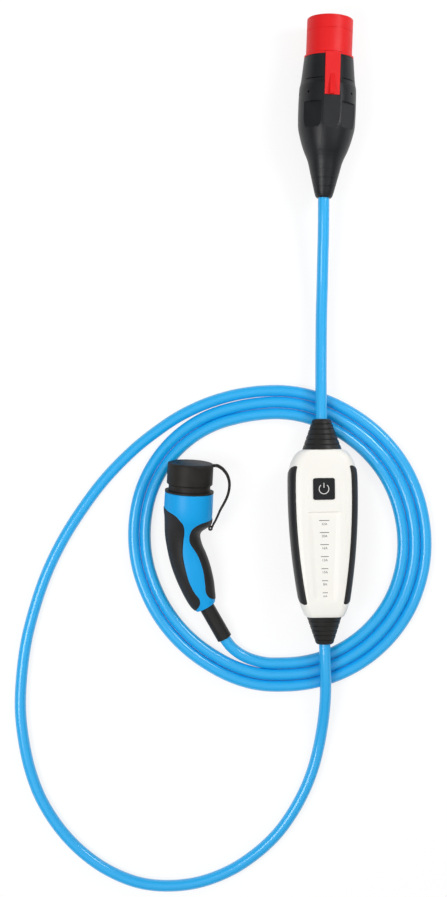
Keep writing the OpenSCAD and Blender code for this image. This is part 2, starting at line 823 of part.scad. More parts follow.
module earth_pin() {
    color(brass) at_plug() at_pins([0]) pin(earth_pin_d);
}
clamp_l = 15;
module pin_terminals() {
    color(brass)
        at_plug()
            at_pins([0 : 4])
                difference() {
                    drum(10, carrier_back - touch - clamp_l, carrier_back - touch, 32);
                    drum(wire_d + 1, carrier_back - clamp_l - 1, carrier_back - clamp_l + 10, 24);
                    translate([0, carrier_back - clamp_l + 5, 0])
                        cylinder(r = 1.8, h = 8, $fn = 24);
                }
}
plug_cable_end = boot_l + 40;
module plug_cable_clamp() {
    color(steel)
        at_plug()
            difference() {
                drum(plug_tail_d - 2 * plug_wall - 0.4, boot_l + 10 + touch, boot_l + 15.5);
                drum(2 * bore_r, boot_l, boot_l + 30);
            }
}
module plug_wires() {
    spread_r = cable_r - wire_d / 2 - 0.6;
    color(blue)
        at_plug()
            for (k = [0 : 4])
                let (a = -90 + 72 * k)
                bar([spread_r * cos(a), plug_cable_end + wire_gap, spread_r * sin(a)],
                    [pin_pcd / 2 * cos(a), carrier_back - clamp_l + 4, pin_pcd / 2 * sin(a)], wire_d - 0.4);
}

// Connector, in its own frame: the middle of the handle's front face at the
// origin, the nose along +Y, the handle back along -Y with its bend towards +X

conn_at = [-183.6, 58.7, 39.2];
conn_lean = -3.8;     // turn about the upright axis
conn_tilt = 8.0;      // nose lifted, tail on the floor
module at_conn() {
    translate(conn_at)
        rotate([0, 0, conn_lean])
            rotate([conn_tilt, 0, 0])
                children();
}
function conn_place(p) = let (
        y = p[1] * cos(conn_tilt) - p[2] * sin(conn_tilt),
        z = p[1] * sin(conn_tilt) + p[2] * cos(conn_tilt))
    conn_at + [p[0] * cos(conn_lean) - y * sin(conn_lean), p[0] * sin(conn_lean) + y * cos(conn_lean), z];

// middle line of the handle: straight, then one round bend, and straight on behind the tail
function line_turn(s) = max(0, min(s, handle_l) - handle_straight) / handle_bend_r * 180 / PI;
function line_at(s) = let (a = line_turn(s))
    [handle_bend_r * (1 - cos(a)), -min(s, handle_straight) - handle_bend_r * sin(a), 0]
    + max(0, s - handle_l) * [sin(a), -cos(a), 0];
function line_right(s) = let (a = line_turn(s)) [cos(a), sin(a), 0];

front_r = neck_collar_d / 2;
tail_hole_r = sleeve_d / 2 + 0.2;
tail_half = tail_hole_r + 3.4;
// half widths and half thickness as [distance from the front, value]
back_half = [[0, front_r], [24, front_r + 0.2], [36, front_r - 1.3], [58, front_r - 2.8], [76, front_r - 5],
    [100, front_r - 7.6], [128, front_r - 11], [handle_l - 15, front_r - 13.3], [handle_l - 7, tail_half + 4.4],
    [handle_l, tail_half + 1.4]];
front_half = [[0, front_r], [34, front_r], [43, front_r - 1], [48, front_r - 6.4], [53, 20.6], [58, 17.8], [64, 17.6],
    [72, 19], [80, 21], [88, 23.4], [104, 25.8], [120, 26], [137, 24], [handle_l - 13, 19.8],
    [handle_l - 6, tail_half + 3.2], [handle_l, tail_half]];
thick_half = [[0, front_r], [22, front_r], [36, 31], [52, 24.5], [66, 21.6], [90, 20.6], [112, 21],
    [135, 19.4], [handle_l - 13, 17], [handle_l, tail_half + 0.4]];
function handle_point(s, phi, depth, up) =
    let (w = curve(s, cos(phi) >= 0 ? front_half : back_half) - depth,
         t = curve(s, thick_half) - depth)
    line_at(s) + line_right(s) * (w * cos(phi)) + [0, 0, up * t * sin(phi)];

// the grips: lateral place of their edges on the shells
back_edge = [[24, 24], [29, 16.2], [36, 9], [42, 4.6], [52, 2.8], [63, 3.9], [82, 6.2], [103, 6],
    [124, 5.6], [140, 3.4], [148, 1.4], [155, 3.4], [160, 8.8]];
front_edge = [[36, 24], [38, 20], [42, 12.6], [46, 8], [50, 5.4], [57, 3.4], [64, 3], [70, 4.6], [77, 8.2],
    [85, 11.8], [92, 13.8], [104, 15.6], [116, 15.6], [131, 13], [145, 9.4], [153, 10.4], [158, 13]];
pad_back = [22, 162.6];
pad_front = [36, 161];
function within(s, range) = s >= range[0] && s <= range[1];
function reach(s, range, edge, half) = !within(s, range) ? 0
    : let (x = curve(s, edge) / curve(s, half), m = min(s - range[0], range[1] - s))
      acos(min(x, 0.98)) * (m < 2 ? 0.45 + 0.275 * m : 1);
function back_reach(s) = reach(s, pad_back, back_edge, back_half);
function front_reach(s) = reach(s, pad_front, front_edge, front_half);

handle_places = concat(
    [0, 8, 16, pad_back[0] - tiny, pad_back[0], 24, 28, 33, pad_front[0] - tiny, pad_front[0], pad_front[0] + 2, 41, 45, 49],
    [53, 57, 62, 68, 75, 84, 96, 108, 120, 132, 142, 150, 156],
    [pad_front[1] - 2, pad_back[1] - 2, pad_front[1], pad_front[1] + tiny, pad_back[1], pad_back[1] + tiny],
    [handle_l]);
pad_n = 4;
shell_mid_n = 9;
shell_n = 2 * pad_n + shell_mid_n;
function shell_ring(s, up) = let (
        f = front_reach(s),
        b = back_reach(s),
        df = within(s, pad_front) ? pad_depth : 0,
        db = within(s, pad_back) ? pad_depth : 0)
    concat([for (a = spread(0, f, pad_n)) handle_point(s, a, df, up)],
           [for (a = spread(f, 180 - b, shell_mid_n)) handle_point(s, a, 0, up)],
           [for (a = spread(180 - b, 180, pad_n)) handle_point(s, a, db, up)]);
function round_ring(s, r, up) = [for (a = spread(0, 180, shell_n))
    line_at(s) + line_right(s) * (r * cos(a)) + [0, 0, up * r * sin(a)]];
nose_hole_r = 24;
shell_end = 4;
tail_end = 7;
handle_inner = [shell_end, 20, 36, 46, 53, 62, 80, 105, 130, 148, handle_l - tail_end];
function shell_rings(up) = concat(
    [for (s = handle_places) shell_ring(s, up)],
    [round_ring(handle_l, tail_hole_r, up), round_ring(handle_l - tail_end, tail_hole_r, up)],
    [for (s = back(handle_inner))
        [for (a = spread(0, 180, shell_n)) handle_point(s, a, handle_wall, up)]],
    [round_ring(shell_end, nose_hole_r, up), round_ring(0, nose_hole_r, up)]);

module handle_shell_upper() {
    color(blue) at_conn() half_shell(shell_rings(1), len(handle_places));
}
module handle_shell_lower() {
    color(blue) at_conn() mirror([0, 0, 1]) half_shell(shell_rings(1), len(handle_places));
}

// a grip: a closed patch that wraps round one edge of the handle
module pad(range, is_back) {
    trim = 0.9;
    places = concat([range[0] + 0.4],
        [for (s = handle_places) if (s > range[0] + touch && s < range[1] - touch) s],
        [range[1] - 0.4]);
    function line(s, depth) = let (r = (is_back ? back_reach(s) : front_reach(s)) - trim)
        [for (a = spread(-r, r, 2 * pad_n - 1))
            handle_point(s, is_back ? 180 - abs(a) : abs(a), depth, sign(a))];
    swept([for (s = places)
        let (top = line(s, -pad_proud), low = line(s, pad_depth - pad_play))
        is_back ? concat(low, back(top)) : concat(top, back(low))]);
}
module grip_back() {
    color(black) at_conn() pad(pad_back, true);
}
module grip_front() {
    color(black) at_conn() pad(pad_front, false);
}

// Type of nose with five power and two signal sockets
power_at = [[0, 0], [16, 0], [-16, 0], [8.2, -13.6], [-8.2, -13.6]];   // [sideways, up]
signal_at = [[7.4, 12.6], [-7.4, 12.6]];
power_d = 8;
signal_d = 5;
power_pin_d = 6.1;
signal_pin_d = 3.1;
socket_room = 0.05;
nose_back = -12;
module at_socket(list) {
    for (p = list)
        translate([-p[1], 0, p[0]])
            children();
}
module nose() {
    base_r = nose_hole_r - 0.25;
    color(black)
        at_conn()
            difference() {
                turned([[0, nose_back], [base_r, nose_back], [base_r, ring_t + touch],
                    [nose_d / 2, ring_t + touch], [nose_d / 2, nose_l - 1.5], [nose_d / 2 - 1.5, nose_l], [0, nose_l]]);
                translate([-nose_d, nose_neck_l + 1, -nose_d])
                    cube([nose_d - nose_d / 2 + nose_flat, nose_l, 2 * nose_d]);
                at_socket(power_at) drum(power_d + 2 * socket_room, nose_back - 1, nose_l + 1, 32);
                at_socket(signal_at) drum(signal_d + 2 * socket_room, nose_back - 1, nose_l + 1, 32);
            }
}
module nose_ring() {
    color(black)
        at_conn()
            difference() {
                drum(neck_collar_d + 0.6, 0, ring_t);
                drum(2 * nose_hole_r, -1, ring_t + 1);
            }
}
socket_back = nose_back - 8;
module socket(d, pin_d) {
    turned([[0, socket_back], [d / 2, socket_back], [d / 2, nose_l - 3], [pin_d / 2, nose_l - 3],
        [pin_d / 2, 2], [0, 2]]);
}
module power_contacts() {
    color(brass) at_conn() at_socket(power_at) socket(power_d, power_pin_d);
}
module signal_contacts() {
    color(brass) at_conn() at_socket(signal_at) socket(signal_d, signal_pin_d);
}
module coding_board() {
    color(green)
        at_conn()
            translate([-22, nose_back - 2 - touch, -8])
                difference() {
                    cube([14, 2, 16]);
                    for (p = signal_at)
                        translate([22 - p[1], -1, 8 + p[0]])
                            rotate([-90, 0, 0])
                                cylinder(d = signal_d + 0.3, h = 4, $fn = 24);
                }
}
handle_cable_end = handle_l - 32;
// conductors gather at the waist of the handle and run on to the cable's end
module handle_wires() {
    waist = 56;
    wire_r = cable_r - wire_d / 2 - 0.6;
    function gathered(s, k) = let (a = [0, 90, -90, 20, -20][k], q = k == 0 ? 0 : wire_r)
        line_at(s) + line_right(s) * (q * cos(a)) + [0, 0, q * sin(a)];
    color(blue)
        at_conn()
            for (k = [0 : 4])
                let (p = power_at[k], d = wire_d - 0.4) {
                    bar([-p[1], socket_back - wire_gap, p[0]], gathered(waist, k), d);
                    translate(gathered(waist, k))
                        sphere(d = d + 1, $fn = 24);
                    bar(gathered(waist, k), gathered(handle_cable_end - wire_gap, k), d);
                }
}
// a part that follows the bend of the handle's middle line
module bent(s0, s1) {
    translate([handle_bend_r, -handle_straight, 0])
        rotate([0, 0, 180 + line_turn(s0)])
            rotate_extrude(angle = line_turn(s1) - line_turn(s0), $fn = 180)
                translate([handle_bend_r, 0])
                    children();
}
module handle_cable_clamp() {
    color(steel)
        at_conn()
            bent(handle_l - 28, handle_l - 14)
                difference() {
                    circle(d = cable_d + 8);
                    circle(r = bore_r);
                }
}
module kink_sleeve() {
    color(rubber)
        at_conn()
            translate(line_at(handle_l))
                rotate([0, 0, line_turn(handle_l)])
                    translate([0, shell_end + 2, 0])
                        rotate([90, 0, 0])
                            linear_extrude(shell_end + 2 + sleeve_l)
                                difference() {
                                    circle(d = sleeve_d);
                                    circle(r = bore_r);
                                }
}

// Dust cap with its strap

cap_back = nose_neck_l;
cap_front = nose_l + cap_room + cap_front_t;
ear_y = cap_front - 2.4;
module dust_cap() {
    r = cap_d / 2;
    inner_r = nose_d / 2 + cap_room;
    color(black)
        at_conn() {
            difference() {
                union() {
                    turned([[0, cap_back + 2], [r - 1.4, cap_back], [r, cap_back + 1.4], [r, cap_front - 2.5],
                        [r - 0.8, cap_front - 0.8], [r - 2.5, cap_front], [0, cap_front]]);
                    translate([20, ear_y - strap_t / 2, -strap_w / 2])
                        cube([r - 17, strap_t, strap_w]);
                }
                difference() {
                    drum(2 * inner_r, cap_back - 1, nose_l + cap_room);
                    translate([-nose_d, nose_neck_l + 3, -nose_d])
                        cube([nose_d - nose_d / 2 + nose_flat - cap_room, nose_l, 2 * nose_d]);
                }
            }
        }
}
// strap from the cap's ear round to the lug on the handle
lug_r = 3.2;
lug_s = 46;          // place of the lug along the handle
lug_slope = curve(lug_s + 1, front_half) - curve(lug_s, front_half);
lug_at = [curve(lug_s, front_half), -lug_s] + unit([1, lug_slope]) * (lug_r + pad_proud + touch);
lug_turn = -20;           // towards the strap
function lug_place(p) = [lug_at[0] + p[0] * cos(lug_turn) - p[1] * sin(lug_turn),
                         lug_at[1] + p[0] * sin(lug_turn) + p[1] * cos(lug_turn), 0];
strap_route = [[44.5, 34.2, 0], [50.5, 27, 0], [54, 18, 0], [54.6, 8, 0], [52.6, -3, 0], [48.6, -13, 0],
    [43.8, -23, 0], [40.6, -31.5, 0], lug_place([2.2, 11.5]), lug_place([1.6, 6.7])];
module cap_tether() {
    pts = concat([[cap_d / 2 + 3 + touch, ear_y, 0], [37, ear_y, 0], [41, ear_y - 2, 0]], strap_route);
    n = len(pts);
    color(black)
        at_conn()
            swept([for (i = [0 : n - 1])
                let (t = unit(pts[min(i + 1, n - 1)] - pts[max(i - 1, 0)]),
                     x = [-t[1], t[0], 0] * strap_t / 2 * (1 - 0.25 * i / (n - 1)),
                     z = [0, 0, strap_w / 2])
                [pts[i] + x + z, pts[i] - x + z, pts[i] - x - z, pts[i] + x - z]]);
}
module tether_lug() {
    color(black)
        at_conn()
            translate([lug_at[0], lug_at[1], -strap_w / 2])
                rotate([0, 0, lug_turn])
                    difference() {
                        union() {
                            cylinder(r = lug_r, h = strap_w);
                            translate([0.4, 0, 0])
                                cube([2.4, 6.4, strap_w]);
                        }
                        translate([0, 0, -1])
                            cylinder(r = 1.2, h = strap_w + 2);
                    }
}

// Cables

gland_exit = box_end + gland_in_l;
supply_route = concat(
    [[0, box_cable_end, box_mid], [0, box_end + 10, box_mid], [0, gland_exit, box_mid]],
    [[0, 185, 29.5], [0.5, 220, 26], [1.5, 260, 22.5], [2.5, 300, 22], [4, 340, 24], [5, 375, 28],
     [6, 410, 33], [6.5, 440, 37]],
    [for (y = [0, 20, plug_cable_end]) plug_place([0, y, 0])]);
module supply_cable() {
    color(blue) cord(supply_route, cable_r);
}

coil_start = [-63, 197.5];
lead_route = concat(
    [[0, -box_cable_end, box_mid], [0, -box_end - 10, box_mid], [0, -box_end - gland_out_l, box_mid]],
    [[0.5, -180, 30], [1, -205, 27], [0.5, -230, 22], [-1.5, -255, 16], [-5, -280, 11], [-10, -305, 8.4]],
    [for (p = [[-18, -333], [-30, -362], [-47, -392], [-68, -420], [-96, -446], [-133, -470], [-176, -486],
               [-219, -491], [-262, -486], [-305, -468], [-342, -441], [-372, -408], [-396, -369], [-411, -329],
               [-420, -286], [-424, -243], [-422, -200], [-415, -150], [-403, -104], [-386, -56], [-364, -11],
               [-336, 33], [-302, 77], [-263, 116], [-230, 142], [-196, 164], [-160, 180.5], [-125, 191],
               [-93, 196.2]])
        [p[0], p[1], cable_r]],
    [[coil_start[0] - 8, coil_start[1], cable_r], [coil_start[0], coil_start[1], cable_r]]);
module lead_cable() {
    color(blue) cord(lead_route, cable_r);
}

// flat coil, wound inwards to the right: each quarter turn has a radius that is
// a quarter of the pitch smaller, about a centre that keeps the joints smooth
function quarter_r(k) = coil_first_r - k * coil_pitch / 4;
function quarter_centre(k) = k == 0 ? coil_start - [0, coil_first_r]
    : quarter_centre(k - 1) + coil_pitch / 4 * [cos(-90 * (k - 1)), sin(-90 * (k - 1))];
coil_last = coil_quarters - 1;
coil_stop = quarter_centre(coil_last) - [0, quarter_r(coil_last)];
module lead_coil() {
    color(blue)
        translate([0, 0, cable_r])
            for (k = [0 : coil_last])
                translate(quarter_centre(k))
                    rotate([0, 0, -90 * k])
                        rotate_extrude(angle = 90, $fn = 180)
                            translate([quarter_r(k), 0])
                                circle(r = cable_r);
}

// last stretch: from the coil up into the kink sleeve
sleeve_end = handle_l + sleeve_l;
lead_end_route = concat(
    [for (p = [[0, 0, 0], [-8, 0, 0], [-18, 1, 0], [-36, 4.6, 0.1], [-53, 11.5, 0.6], [-67, 22, 1.7]])
        [coil_stop[0], coil_stop[1], cable_r] + p],
    [for (s = [sleeve_end + 1, sleeve_end - 6, sleeve_end - 16, sleeve_end - 26,
               sleeve_end - 36, handle_l + 2, handle_l - 8, handle_l - 18, handle_cable_end])
        conn_place(line_at(s))]);
module lead_end() {
    color(blue) cord(lead_end_route, cable_r);
}

box_top_cover();
box_bottom_cover();
cover_seal();
side_grip(-1);  // side_grip_left
side_grip(1);  // side_grip_right
touch_field();
board_carrier();
main_board();
power_relays();
fault_current_sensor();
supply_module();
input_terminals();
output_terminals();
board_screws();
radio_module();
display_board();
display_spacers();
status_leds();
input_wires();
output_wires();
gland_upper();
gland_lower();
gland_nut_upper();
gland_nut_lower();
plug_housing();
plug_boot();
plug_collar();
plug_seal();
pin_carrier();
phase_pins();
earth_pin();
pin_terminals();
plug_cable_clamp();
plug_wires();
handle_shell_upper();
handle_shell_lower();
grip_back();
grip_front();
nose();
nose_ring();
power_contacts();
signal_contacts();
coding_board();
handle_wires();
handle_cable_clamp();
dust_cap();
cap_tether();
tether_lug();
kink_sleeve();
supply_cable();
lead_cable();
lead_coil();
lead_end();
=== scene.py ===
import math

import bpy
import numpy as np
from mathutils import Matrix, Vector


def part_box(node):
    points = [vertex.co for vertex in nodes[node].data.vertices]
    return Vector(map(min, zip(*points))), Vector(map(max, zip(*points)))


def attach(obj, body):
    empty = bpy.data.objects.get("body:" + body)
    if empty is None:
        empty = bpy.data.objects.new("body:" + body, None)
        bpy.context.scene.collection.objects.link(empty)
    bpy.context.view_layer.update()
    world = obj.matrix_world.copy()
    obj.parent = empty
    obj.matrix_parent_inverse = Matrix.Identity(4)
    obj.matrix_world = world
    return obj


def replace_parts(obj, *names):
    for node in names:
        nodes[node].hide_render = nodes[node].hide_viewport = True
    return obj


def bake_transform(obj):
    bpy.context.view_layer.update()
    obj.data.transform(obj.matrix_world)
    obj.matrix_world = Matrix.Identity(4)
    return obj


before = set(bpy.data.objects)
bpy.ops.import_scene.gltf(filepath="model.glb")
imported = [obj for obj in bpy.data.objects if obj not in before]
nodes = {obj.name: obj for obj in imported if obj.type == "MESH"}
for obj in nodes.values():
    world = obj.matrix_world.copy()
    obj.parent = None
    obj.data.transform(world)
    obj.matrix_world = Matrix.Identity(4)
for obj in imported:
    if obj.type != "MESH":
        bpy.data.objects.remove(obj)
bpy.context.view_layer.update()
scene = bpy.context.scene
print("frame loaded,", len(nodes), "nodes")

# camera: straight above the floor, in metres; frameHeight is what it sees there from top
# to bottom, sensor the height of its sensor in millimetres
cameraView = {"place": (-0.1357, 0.1178, 2.1), "turn": -0.8, "frameHeight": 1.2558, "sensor": 36}

cameraData = bpy.data.cameras.new("topCamera")
cameraData.sensor_fit = "VERTICAL"
cameraData.sensor_height = cameraView["sensor"]
cameraData.lens = cameraView["sensor"] * cameraView["place"][2] / cameraView["frameHeight"]
camera = bpy.data.objects.new("topCamera", cameraData)
camera.location = cameraView["place"]
camera.rotation_euler = (0, 0, math.radians(cameraView["turn"]))
scene.collection.objects.link(camera)
scene.camera = camera
print("camera placed")


# value at x of a smooth line through [place, value] pairs: cubic pieces whose slope
# at a pair is the slope between its two neighbours
def smoothThrough(x, pairs):
    table = np.asarray(pairs, float)
    place = table[:, 0]
    value = table[:, 1]
    last = len(place) - 1
    before = np.maximum(np.arange(last + 1) - 1, 0)
    after = np.minimum(np.arange(last + 1) + 1, last)
    slope = (value[after] - value[before]) / (place[after] - place[before])
    x = np.asarray(x, float)
    i = np.clip(np.searchsorted(place, x, side="right") - 1, 0, last - 1)
    step = place[i + 1] - place[i]
    u = np.clip((x - place[i]) / step, 0, 1)
    rise = value[i + 1] - value[i]
    a = slope[i] * step
    b = slope[i + 1] * step
    return value[i] + u * (a + u * (3 * rise - 2 * a - b + u * (a + b - 2 * rise)))


# the same in space: a smooth path through points, sampled about every spacing
def smoothPath(points, spacing):
    points = np.asarray(points, float)
    chord = np.linalg.norm(np.diff(points, axis=0), axis=1)
    along = np.concatenate([[0], np.cumsum(chord)])
    s = np.linspace(0, along[-1], int(along[-1] / spacing) + 2)
    return np.stack([smoothThrough(s, np.stack([along, points[:, k]], 1)) for k in range(3)], 1)


# four-cornered faces of a grid of rows and columns, either of which may close on itself
def gridFaces(rows, cols, closeRows=False, closeCols=False):
    r, c = np.meshgrid(np.arange(rows if closeRows else rows - 1),
                       np.arange(cols if closeCols else cols - 1), indexing="ij")
    r2 = (r + 1) % rows
    c2 = (c + 1) % cols
    return np.stack([r * cols + c, r2 * cols + c, r2 * cols + c2, r * cols + c2], -1).reshape(-1, 4)


# faces of a closed tube of rings, with a middle point after the rings for each end
def tubeFaces(rings, sides):
    first = np.arange(sides)
    next1 = np.roll(first, -1)
    end = (rings - 1) * sides
    size = rings * sides
    return [gridFaces(rings, sides, closeCols=True),
            np.stack([first, next1, np.full(sides, size)], -1),
            np.stack([end + next1, end + first, np.full(sides, size + 1)], -1)]


# faces of a sheet with thickness: an upper grid, a lower grid after it and the rim
def slabFaces(rows, cols):
    size = rows * cols
    upper = gridFaces(rows, cols)
    index = np.arange(size).reshape(rows, cols)
    rim = np.concatenate([index[0, :], index[1:, -1], index[-1, -2::-1], index[-2:0:-1, 0]])
    next1 = np.roll(rim, -1)
    return [upper, size + upper[:, ::-1], np.stack([rim, next1, next1 + size, rim + size], -1)]


# faces of half a hollow body: rows run along the outside and back along the inside,
# and a flat band closes each long edge
def shellFaces(rows, cols):
    i = np.arange(rows // 2 - 1)
    a = i * cols
    b = (i + 1) * cols
    c = (rows - 2 - i) * cols
    d = (rows - 1 - i) * cols
    far = cols - 1
    return [gridFaces(rows, cols, closeRows=True),
            np.stack([b, a, d, c], -1),
            np.stack([a, b, c, d], -1) + far]


# mesh object from points in millimetres; faces are turned over where the volume that
# they enclose comes out below zero
def makePiece(name, points, faces, finish, crease=40):
    points = np.asarray(points, float).reshape(-1, 3) * 0.001
    fans = [f[:, [0, k, k + 1]] for f in faces for k in range(1, f.shape[1] - 1)]
    tri = points[np.concatenate(fans)]
    volume = np.einsum("ij,ij->i", tri[:, 0], np.cross(tri[:, 1], tri[:, 2])).sum()
    if volume < 0:
        faces = [f[:, ::-1] for f in faces]
    mesh = bpy.data.meshes.new(name)
    mesh.from_pydata(points.tolist(), [], sum([f.tolist() for f in faces], []))
    mesh.polygons.foreach_set("use_smooth", np.ones(len(mesh.polygons), bool))
    mesh.set_sharp_from_angle(angle=math.radians(crease))
    mesh.materials.append(finish)
    piece = bpy.data.objects.new(name, mesh)
    scene.collection.objects.link(piece)
    return piece


# a closed rod: the profile (across, up) carried along a path that runs more or less level
def carryProfile(path, profile, scale=None):
    path = np.asarray(path, float)
    profile = np.asarray(profile, float)
    heading = np.gradient(path, axis=0)
    heading /= np.linalg.norm(heading, axis=1)[:, None]
    across = np.cross(heading, [0, 0, 1])
    across /= np.linalg.norm(across, axis=1)[:, None]
    up = np.cross(across, heading)
    scale = np.ones(len(path)) if scale is None else scale
    rings = path[:, None] + scale[:, None, None] * (across[:, None] * profile[None, :, :1]
                                                    + up[:, None] * profile[None, :, 1:])
    points = np.concatenate([rings.reshape(-1, 3), path[:1], path[-1:]])
    return points, tubeFaces(len(path), len(profile))


# values of the noise between which tones and roughness run, octaves of the wide and of the
# fine noise, and how strongly the fine one works as bump
noiseForm = {"low": 0.3, "high": 0.7, "wideDetail": 4, "fineDetail": 3, "bump": 0.6}


# node material: two close tones over a wide noise, roughness over another, a fine grain
# as bump; grain is its size in millimetres, relief its height in millimetres
def makeFinish(name, tone, toneTwo, rough, roughSpread=0.06, grain=0.6, relief=0.02, patch=30,
               metallic=0.0, specular=0.5, coat=0.0, coatRough=0.1, grainStretch=(1, 1, 1)):
    finish = bpy.data.materials.new(name)
    finish.use_nodes = True
    tree = finish.node_tree
    link = tree.links.new
    shader = tree.nodes["Principled BSDF"]
    shader.inputs["Metallic"].default_value = metallic
    shader.inputs["Specular IOR Level"].default_value = specular
    shader.inputs["Coat Weight"].default_value = coat
    shader.inputs["Coat Roughness"].default_value = coatRough
    coords = tree.nodes.new("ShaderNodeTexCoord")
    place = tree.nodes.new("ShaderNodeMapping")
    place.inputs["Scale"].default_value = grainStretch
    link(coords.outputs["Object"], place.inputs["Vector"])

    wide = tree.nodes.new("ShaderNodeTexNoise")
    wide.inputs["Scale"].default_value = 1000 / patch
    wide.inputs["Detail"].default_value = noiseForm["wideDetail"]
    link(coords.outputs["Object"], wide.inputs["Vector"])
    tones = tree.nodes.new("ShaderNodeValToRGB")
    tones.color_ramp.elements[0].position = noiseForm["low"]
    tones.color_ramp.elements[0].color = (*tone, 1)
    tones.color_ramp.elements[1].position = noiseForm["high"]
    tones.color_ramp.elements[1].color = (*toneTwo, 1)
    link(wide.outputs["Fac"], tones.inputs["Fac"])
    link(tones.outputs["Color"], shader.inputs["Base Color"])

    fine = tree.nodes.new("ShaderNodeTexNoise")
    fine.inputs["Scale"].default_value = 1000 / grain
    fine.inputs["Detail"].default_value = noiseForm["fineDetail"]
    link(place.outputs["Vector"], fine.inputs["Vector"])
    shine = tree.nodes.new("ShaderNodeMapRange")
    shine.inputs["From Min"].default_value = noiseForm["low"]
    shine.inputs["From Max"].default_value = noiseForm["high"]
    shine.inputs["To Min"].default_value = rough - roughSpread
    shine.inputs["To Max"].default_value = rough + roughSpread
    link(fine.outputs["Fac"], shine.inputs["Value"])
    link(shine.outputs["Result"], shader.inputs["Roughness"])
    bump = tree.nodes.new("ShaderNodeBump")
    bump.inputs["Strength"].default_value = noiseForm["bump"]
    bump.inputs["Distance"].default_value = relief * 0.001
    link(fine.outputs["Fac"], bump.inputs["Height"])
    link(bump.outputs["Normal"], shader.inputs["Normal"])
    return finish


# jacket of the cords: fine lengthwise drawing lines and a slow change of tone, both read
# from the attribute "along" (metres along the cord, then the direction round it)
jacketForm = {"stretch": (3, 9, 9), "wideScale": 0.6, "fineScale": 6}


def makeJacket(name, tone, toneTwo, rough):
    finish = makeFinish(name, tone, toneTwo, rough, grain=0.9, relief=0.015, patch=120,
                        coat=0.9, coatRough=0.15, specular=0.3)
    tree = finish.node_tree
    along = tree.nodes.new("ShaderNodeAttribute")
    along.attribute_name = "along"
    stretch = tree.nodes.new("ShaderNodeMapping")
    stretch.inputs["Scale"].default_value = jacketForm["stretch"]
    tree.links.new(along.outputs["Vector"], stretch.inputs["Vector"])
    for noise in [n for n in tree.nodes if n.type == "TEX_NOISE"]:
        tree.links.new(stretch.outputs["Vector"], noise.inputs["Vector"])
        isWide = noise.inputs["Detail"].default_value > noiseForm["fineDetail"]
        noise.inputs["Scale"].default_value = jacketForm["wideScale" if isWide else "fineScale"]
    return finish


boxWhite = makeFinish("boxWhite", (0.92, 0.905, 0.855), (0.91, 0.89, 0.835), 0.42, grain=0.35,
                      relief=0.012, patch=60)
gripRubber = makeFinish("gripRubber", (0.012, 0.012, 0.013), (0.018, 0.018, 0.019), 0.46, grain=0.4,
                        relief=0.03, patch=25, specular=0.3)
plugBlack = makeFinish("plugBlack", (0.006, 0.0068, 0.0085), (0.010, 0.011, 0.0135), 0.38, grain=0.5,
                       relief=0.03, patch=22, specular=0.31)
glandRubber = makeFinish("glandRubber", (0.009, 0.0085, 0.008), (0.015, 0.014, 0.013), 0.44, grain=0.5,
                         relief=0.03, patch=14, specular=0.35)
capBlack = makeFinish("capBlack", (0.014, 0.013, 0.012), (0.022, 0.020, 0.018), 0.52, grain=0.4,
                      relief=0.025, patch=18, specular=0.2)
panelGlass = makeFinish("panelGlass", (0.010, 0.011, 0.012), (0.014, 0.015, 0.016), 0.24, 0.03, grain=2,
                        relief=0.001, patch=12, specular=0.25)
handleBlue = makeFinish("handleBlue", (0.0, 0.35, 0.80), (0.003, 0.37, 0.82), 0.42, grain=0.4,
                        relief=0.012, patch=40, specular=0.3)
cableBlue = makeJacket("cableBlue", (0.003, 0.41, 0.86), (0.008, 0.43, 0.88), 0.4)
collarRed = makeFinish("collarRed", (0.74, 0.006, 0.008), (0.78, 0.009, 0.011), 0.45, grain=0.5,
                       relief=0.015, patch=30, specular=0.3)
boardGreen = makeFinish("boardGreen", (0.010, 0.13, 0.045), (0.016, 0.17, 0.06), 0.35, grain=0.8,
                        relief=0.02, patch=6, coat=0.3)
lampClear = makeFinish("lampClear", (0.80, 0.84, 0.86), (0.88, 0.90, 0.92), 0.25, grain=0.5, relief=0.005,
                       patch=3)
brassPlate = makeFinish("brassPlate", (0.62, 0.42, 0.13), (0.70, 0.49, 0.17), 0.3, grain=0.4, relief=0.01,
                        patch=8, metallic=1.0, grainStretch=(1, 0.08, 1))
steelPlate = makeFinish("steelPlate", (0.50, 0.51, 0.52), (0.60, 0.61, 0.62), 0.3, grain=0.4,
                        relief=0.008, patch=8, metallic=1.0, grainStretch=(0.1, 1, 1))
signWhite = makeFinish("signWhite", (0.72, 0.72, 0.70), (0.78, 0.78, 0.76), 0.5, grain=0.3, relief=0.004,
                       patch=10)
markGrey = makeFinish("markGrey", (0.070, 0.056, 0.048), (0.090, 0.073, 0.063), 0.6, grain=0.3,
                      relief=0.004, patch=10)

cadFinish = {
    "touch_field": panelGlass, "cover_seal": gripRubber, "board_carrier": plugBlack,
    "main_board": boardGreen, "power_relays": plugBlack, "fault_current_sensor": glandRubber,
    "supply_module": capBlack, "input_terminals": boxWhite, "output_terminals": boxWhite,
    "board_screws": steelPlate, "radio_module": steelPlate, "display_board": boardGreen,
    "display_spacers": steelPlate, "status_leds": lampClear, "input_wires": handleBlue,
    "output_wires": handleBlue, "gland_nut_upper": plugBlack, "gland_nut_lower": plugBlack,
    "plug_housing": plugBlack, "plug_boot": plugBlack, "plug_collar": collarRed, "plug_seal": gripRubber,
    "pin_carrier": plugBlack, "phase_pins": brassPlate, "earth_pin": brassPlate,
    "pin_terminals": brassPlate, "plug_cable_clamp": plugBlack, "plug_wires": handleBlue,
    "nose": capBlack, "nose_ring": capBlack, "power_contacts": brassPlate, "signal_contacts": brassPlate,
    "coding_board": boardGreen, "handle_wires": handleBlue, "handle_cable_clamp": plugBlack,
    "dust_cap": capBlack, "tether_lug": capBlack, "kink_sleeve": glandRubber,
}
